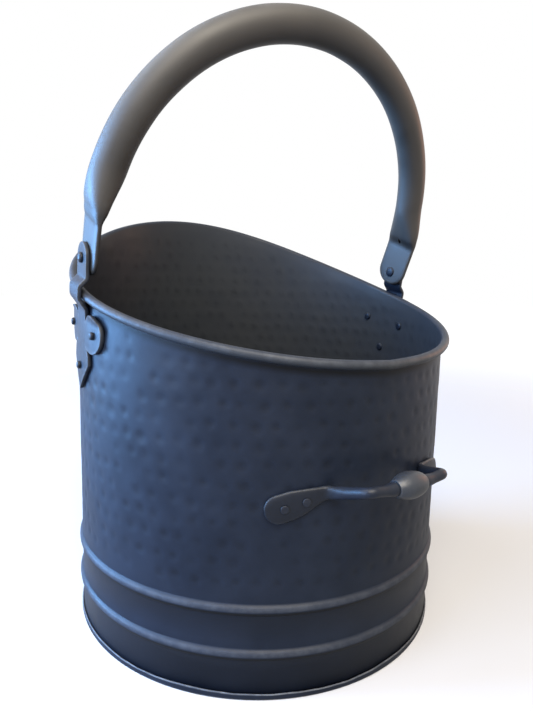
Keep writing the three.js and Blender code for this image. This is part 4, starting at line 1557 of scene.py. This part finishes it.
    def _ring(self, place: Array, direction: Array, thin: float, tall: float,
              power: float) -> Array:
        """Oval ring of points square to a direction.

        Args:
            place: its centre.
            direction: along the rod.
            thin: half thickness.
            tall: half width.
            power: squareness.

        Returns:
            The points.
        """
        direction = direction / np.linalg.norm(direction)
        width = np.array([0, 0, 1.0]) - direction * direction[2]
        width /= np.linalg.norm(width)
        normal = np.cross(direction, width)
        across, along = oval(self.sides, power)
        return place + (across * thin)[:, None] * normal + (along * tall)[:, None] * width

    def bow(self) -> Object:
        """The rod and its two feet, as one forging.

        Returns:
            The piece.
        """
        half = self._sections()
        mirror, back = np.array([-1, 1, 1]), np.array([1, -1, -1])
        whole = half + [(p * mirror, d * back, *rest) for p, d, *rest in reversed(half[:-1])]
        points = np.concatenate([self._ring(*section) for section in whole])
        rim = np.abs(np.sin(spread_turns(self.sides, 0.5))) ** 10
        edge = np.concatenate([rim * self.foot_worn * smooth(power, 2.4, 3) for *_, power in whole])
        soot = np.repeat([self.foot_soot * smooth(power, 2.0, 3.0) for *_, power in whole], self.sides)
        middle = np.repeat([section[0] for section in whole], self.sides, 0)
        points = beaten(points, middle, self.blows, self.blow)
        piece = new_piece("tipping_bow", points, tube_faces(len(whole), self.sides),
                          {"edge": edge, "soot": soot})
        return dress(piece, STRAP_COAT, Body.BUCKET, ["tipping_handle"])

    def grip(self) -> Object:
        """The oval grip, bored for the rod.

        Returns:
            The piece.
        """
        bore = self.rod / 2 + GAP
        radius, half, sides = self.ball_diameter / 2, self.ball_length / 2, self.ball_sides
        end = math.acos((bore + self.ball_lip) / radius)
        profile = [(radius * math.cos(t), half * math.sin(t) / math.sin(end))
                   for t in np.linspace(-end, end, 37)]
        profile += [(bore, z) for z in np.linspace(half, -half, 9)]
        turns = spread_turns(sides)
        rings = [np.stack([np.full(sides, z), r * np.cos(turns), r * np.sin(turns)], 1) for r, z in profile]
        points = np.concatenate(rings) + np.array([0, -self._reach, self.height])
        edge = np.repeat([0.5 if abs(z) > half * 0.93 else 0.0 for _, z in profile], sides)
        piece = new_piece("tipping_grip", points, turned(strip(len(profile), sides, ring=True)),
                          {"edge": edge})
        piece.data.set_sharp_from_angle(angle=SHARP)
        return dress(piece, GRIP_COAT, Body.BUCKET, ["tipping_handle_ball"])

    def rivet_spots(self, side: Side) -> list[tuple[Vector, Vector]]:
        """Seats and directions of a foot's two rivets.

        Args:
            side: which foot.

        Returns:
            Seat and direction of each.
        """
        spots = []
        for angle in self.rivet_angles:
            height = self._foot_height(angle) - self.rivet_drop
            out = self._foot_circle + self.foot_thickness / 2
            seat = Vector(self._back(side.value * angle, out, height))
            spots.append((seat, Vector((seat.x, seat.y, 0)).normalized()))
        return spots


# ------------------------------------------------------------------ rivets
@dataclass(frozen=True)
class Rivet:
    """Sizes of one kind of rivet, from its tail to its domed head."""

    head: float
    rise: float
    shank: float
    tail: float
    tail_rise: float
    grip: float                          # from the tail's seat to the head's
    flat: float = 1.0                    # below 1 the dome has steeper sides and a flatter top
    sides: int = 28
    blows: float = 420                   # to a metre
    blow: float = 0.05
    shrink: float = 0.03                 # what the blows take off on average
    worn: float = 0.8                    # how worn the top of the dome is

    def _dome(self, radius: float, rise: float, start: float, end: float) -> list[Pair]:
        """Radius and rise of points over a dome, between two turns from its rim."""
        return [(radius * math.cos(t) ** self.flat, rise * math.sin(t) ** self.flat)
                for t in np.linspace(start, end, 11)[1:-1]]

    def template(self) -> Object:
        """One rivet along Z, its head's seat at the origin.

        Returns:
            The object.
        """
        seat = -self.grip - GAP
        head = self._dome(self.head / 2, self.rise, 0, TURN / 4)
        tail = self._dome(self.tail / 2, self.tail_rise, TURN / 4, 0)
        profile = [(0, seat - self.tail_rise), *[(r, seat - z) for r, z in tail], (self.tail / 2, seat),
                   (self.shank / 2, seat), (self.shank / 2, GAP), (self.head / 2, GAP),
                   *[(r, GAP + z) for r, z in head], (0, GAP + self.rise)]
        points, faces = lathe(profile, self.sides)
        points[:, :2] *= (1 + self.blow * bumps(points, self.blows) - self.shrink)[:, None]
        edge = np.where(points[:, 2] > GAP + self.rise * 0.55, self.worn, 0.0)
        return new_piece("rivet_template", points, faces, {"edge": edge})


@dataclass
class RivetSet:
    """Rivets of one kind, set on their seats by a geometry tree."""

    name: str
    rivet: Rivet
    spots: list[tuple[Vector, Vector]]
    nodes: list[str]
    seed: int

    @staticmethod
    def tree() -> Tree:
        """Geometry tree that sets a rivet on each point, along its direction.

        Returns:
            The tree.
        """
        known = bpy.data.node_groups.get("rivet_rows")
        if known:
            return known
        tree, g, given, out = new_tree(
            "rivet_rows", TreeKind.GEOMETRY, {"Geometry": "Geometry", "Rivet": "Object",
                                              "Size spread": 0.03, "Seed": 1, "Finish": "Material"},
            {"Geometry": "Geometry"})
        direction = g.node("GeometryNodeInputNamedAttribute", {0: "direction"}, data_type="FLOAT_VECTOR")
        aligned = g.node("FunctionNodeAlignRotationToVector", {"Vector": direction.outputs[0]}, axis="Z")
        roll = g.node("FunctionNodeRandomValue", {2: 0.0, 3: TURN, 8: given["Seed"]}).outputs[1]
        turn = g.node("FunctionNodeAxisAngleToRotation", {0: (0, 0, 1), 1: roll}).outputs[0]
        rotation = g.node("FunctionNodeRotateRotation", {0: aligned.outputs[0], 1: turn},
                          rotation_space="LOCAL").outputs[0]
        low = g.math("SUBTRACT", 1.0, given["Size spread"])
        size = g.node("FunctionNodeRandomValue", {2: low, 3: 1.0, 8: given["Seed"]}).outputs[1]
        rivet = g.node("GeometryNodeObjectInfo", {0: given["Rivet"]}).outputs["Geometry"]
        spread = g.node("ShaderNodeCombineXYZ", {0: size, 1: size, 2: 1.0}).outputs[0]
        placed = g.node("GeometryNodeInstanceOnPoints", {
            "Points": given["Geometry"], "Instance": rivet, "Rotation": rotation, "Scale": spread})
        end_tree(g, placed.outputs[0], given["Finish"], out)
        return tree

    def build(self) -> Object:
        """All the set's rivets, as one piece.

        Returns:
            The piece.
        """
        mesh = bpy.data.meshes.new(self.name)
        mesh.from_pydata([seat for seat, _ in self.spots], [], [])
        marks = mesh.attributes.new("direction", "FLOAT_VECTOR", "POINT")
        marks.data.foreach_set("vector", [c for _, direction in self.spots for c in direction])
        piece = add_object(self.name, mesh)
        template = self.rivet.template()
        bake(piece, self.tree(), {"Rivet": template, "Seed": self.seed, "Finish": RIVET_COAT.material()})
        bpy.data.objects.remove(template)
        piece.data.shade_smooth()
        piece.data.set_sharp_from_angle(angle=SHARP)
        return dress(piece, RIVET_COAT, Body.BUCKET, self.nodes)


# ------------------------------------------------------------------ studio
LIT_SPOT = (0, 0, 0.2)                 # where every lamp points


@dataclass(frozen=True)
class SoftBox:
    """A square soft lamp that faces the scuttle."""

    name: str
    place: Triple
    size: float
    power: float
    colour: Triple

    def build(self) -> None:
        """Add the lamp to the scene."""
        lamp = bpy.data.lights.new(self.name, "AREA")
        lamp.size, lamp.energy, lamp.color = self.size, self.power, self.colour
        lamp.shape = "SQUARE"
        holder = add_object(self.name, lamp)
        holder.location = self.place
        holder.visible_camera = False
        towards = Vector(LIT_SPOT) - holder.location
        holder.rotation_euler = towards.to_track_quat("-Z", "Y").to_euler()


LAMPS = (SoftBox("window", (-1.20, 0.80, 0.48), 0.8, 80.0, (0.20, 0.49, 1.0)),
         SoftBox("sky", (-1.43, -0.15, 0.48), 0.8, 24.0, (0.46, 0.64, 1.0)),
         SoftBox("front", (-0.45, -1.00, 1.45), 1.2, 48.0, (1.0, 0.91, 0.77)),
         SoftBox("ceiling", (-0.80, 0.45, 1.45), 1.1, 17.0, (0.95, 0.97, 1.0)),
         SoftBox("room", (1.35, -0.25, 0.60), 0.7, 3.0, (1.0, 0.38, 0.16)))


@dataclass
class Studio:
    """Pale floor, plain soft light and the camera at the photograph's angle."""

    place: Triple = (-0.2508, -0.3876, 0.2668)
    yaw: float = -0.586
    pitch: float = 0.1332
    roll: float = 0.0245
    lens: float = 26.88
    sensor: float = 36.0
    near: float = 0.01
    ambient: float = 0.15
    floor_half: float = 8.0
    floor_drop: float = 0.0002          # below the scuttle's underside
    floor_lit: Triple = (0.25, 0.25, 0.25)
    floor_seen: Triple = (0.48, 0.49, 0.52)
    floor_glow: tuple[float, ...] = (0.3, 2.5, 0.22, 1.0)       # near and far, and how strong there

    def camera(self) -> None:
        """Make the scene's camera."""
        forward = Vector((-math.sin(self.yaw) * math.cos(self.pitch),
                          math.cos(self.yaw) * math.cos(self.pitch), -math.sin(self.pitch)))
        level = Vector((math.cos(self.yaw), math.sin(self.yaw), 0))
        upright = level.cross(forward)
        right = level * math.cos(self.roll) + upright * math.sin(self.roll)
        up = upright * math.cos(self.roll) - level * math.sin(self.roll)
        data = bpy.data.cameras.new("photo_camera")
        data.lens, data.sensor_width, data.clip_start = self.lens, self.sensor, self.near
        holder = add_object("photo_camera", data)
        turn = Matrix((right, up, -forward)).transposed().to_4x4()
        holder.matrix_world = Matrix.Translation(self.place) @ turn
        bpy.context.scene.camera = holder

    @staticmethod
    def _seen(g: Graph) -> Socket:
        """1 for camera, glossy and transmission rays, else 0.

        Args:
            g: the material's or the world's builder.

        Returns:
            The number.
        """
        path = g.node("ShaderNodeLightPath").outputs
        either = g.math("MAXIMUM", path["Is Camera Ray"], path["Is Glossy Ray"])
        return g.math("MAXIMUM", either, path["Is Transmission Ray"])

    def world(self) -> None:
        """White surroundings for what is seen, and a lower ambient light for the object."""
        world = bpy.data.worlds.new("studio")
        world.use_nodes = True
        g = Graph(world.node_tree)
        strength = g.ramp(self._seen(g), 0.0, 1.0, self.ambient, 1.0, kind="LINEAR")
        g.feed_all(world.node_tree.nodes["Background"].inputs, {"Strength": strength, "Color": (1, 1, 1)})
        bpy.context.scene.world = world

    def floor(self) -> None:
        """Pale floor that keeps the object's shadow."""
        corners = [(x * self.floor_half, y * self.floor_half, -self.floor_drop)
                   for x, y in ((-1, -1), (1, -1), (1, 1), (-1, 1))]
        floor = new_piece("pale_floor", corners, [[0, 1, 2, 3]])
        material, g, shader = new_material("pale_floor")
        camera = g.node("ShaderNodeLightPath").outputs["Is Camera Ray"]
        away = g.vector("LENGTH", g.node("ShaderNodeTexCoord").outputs["Object"], out=1)
        glow = g.math("MULTIPLY", self._seen(g), g.ramp(away, *self.floor_glow))
        g.feed_all(shader, {
            "Base Color": g.mix(camera, self.floor_lit, self.floor_seen), "Roughness": 0.9,
            "Specular IOR Level": 0.1, "Emission Color": (1, 1, 1), "Emission Strength": glow})
        floor.data.materials.append(material)

    def build(self) -> None:
        """Set up the camera, the surroundings and the lamps."""
        self.camera()
        self.world()
        self.floor()
        for lamp in LAMPS:
            lamp.build()
        bpy.context.scene.view_settings.view_transform = "Standard"


# ------------------------------------------------------------------ assembly
PLATE_RIVET = Rivet(0.0058, 0.0022, 0.0040, 0.0076, 0.0014, 0.0043, flat=0.62)
FOOT_RIVET = Rivet(0.0058, 0.0008, 0.0040, 0.0067, 0.0016, 0.0047, flat=0.5)
PIVOT_RIVET = Rivet(0.0078, 0.0024, 0.0050, 0.0098, 0.0014, 0.0081, flat=0.9)


def rivet_sets(brackets: Sequence[Bracket], handle: TippingHandle) -> list[RivetSet]:
    """The three kinds of rivet and where they sit.

    Args:
        brackets: the left and right brackets.
        handle: the tipping handle.

    Returns:
        The sets, ready to build.
    """
    plate, pivots, feet, plate_nodes, pivot_nodes, foot_nodes = [], [], [], [], [], []
    for bracket in brackets:
        label = bracket.side.label
        plate += bracket.rivet_spots()
        plate_nodes += [f"{label}_bracket_{place}_rivet" for place in ("front", "back", "leaf")]
        pivots.append((bracket.pivot(), Vector((bracket.side.value, 0, 0))))
        pivot_nodes.append(f"{label}_pivot_rivet")
        feet += handle.rivet_spots(bracket.side)
        foot_nodes += [f"{label}_foot_{place}_rivet" for place in ("inner", "outer")]
    return [RivetSet("bracket_rivets", PLATE_RIVET, plate, plate_nodes, 3),
            RivetSet("pivot_rivets", PIVOT_RIVET, pivots, pivot_nodes, 5),
            RivetSet("foot_rivets", FOOT_RIVET, feet, foot_nodes, 11)]


def dress_wire() -> None:
    """Give the wire in the rolled edge, which stays a CAD node, its own finish."""
    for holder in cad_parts["rim_wire"].material_slots:
        holder.material = WIRE_COAT.material()
    LOG.info("rim_wire: dressed")


def main() -> None:
    """Build every piece in order."""
    logging.basicConfig(level=logging.INFO, format="%(name)s: %(message)s")
    Studio().build()
    bucket = Bucket()
    bucket.wall()
    bucket.pan()
    dress_wire()
    brackets = [Bracket(side, bucket) for side in Side]
    for bracket in brackets:
        bracket.build()
    Bail().build()
    handle = TippingHandle(bucket)
    handle.bow()
    handle.grip()
    for rivets in rivet_sets(brackets, handle):
        rivets.build()


if __name__ == "__main__":
    main()
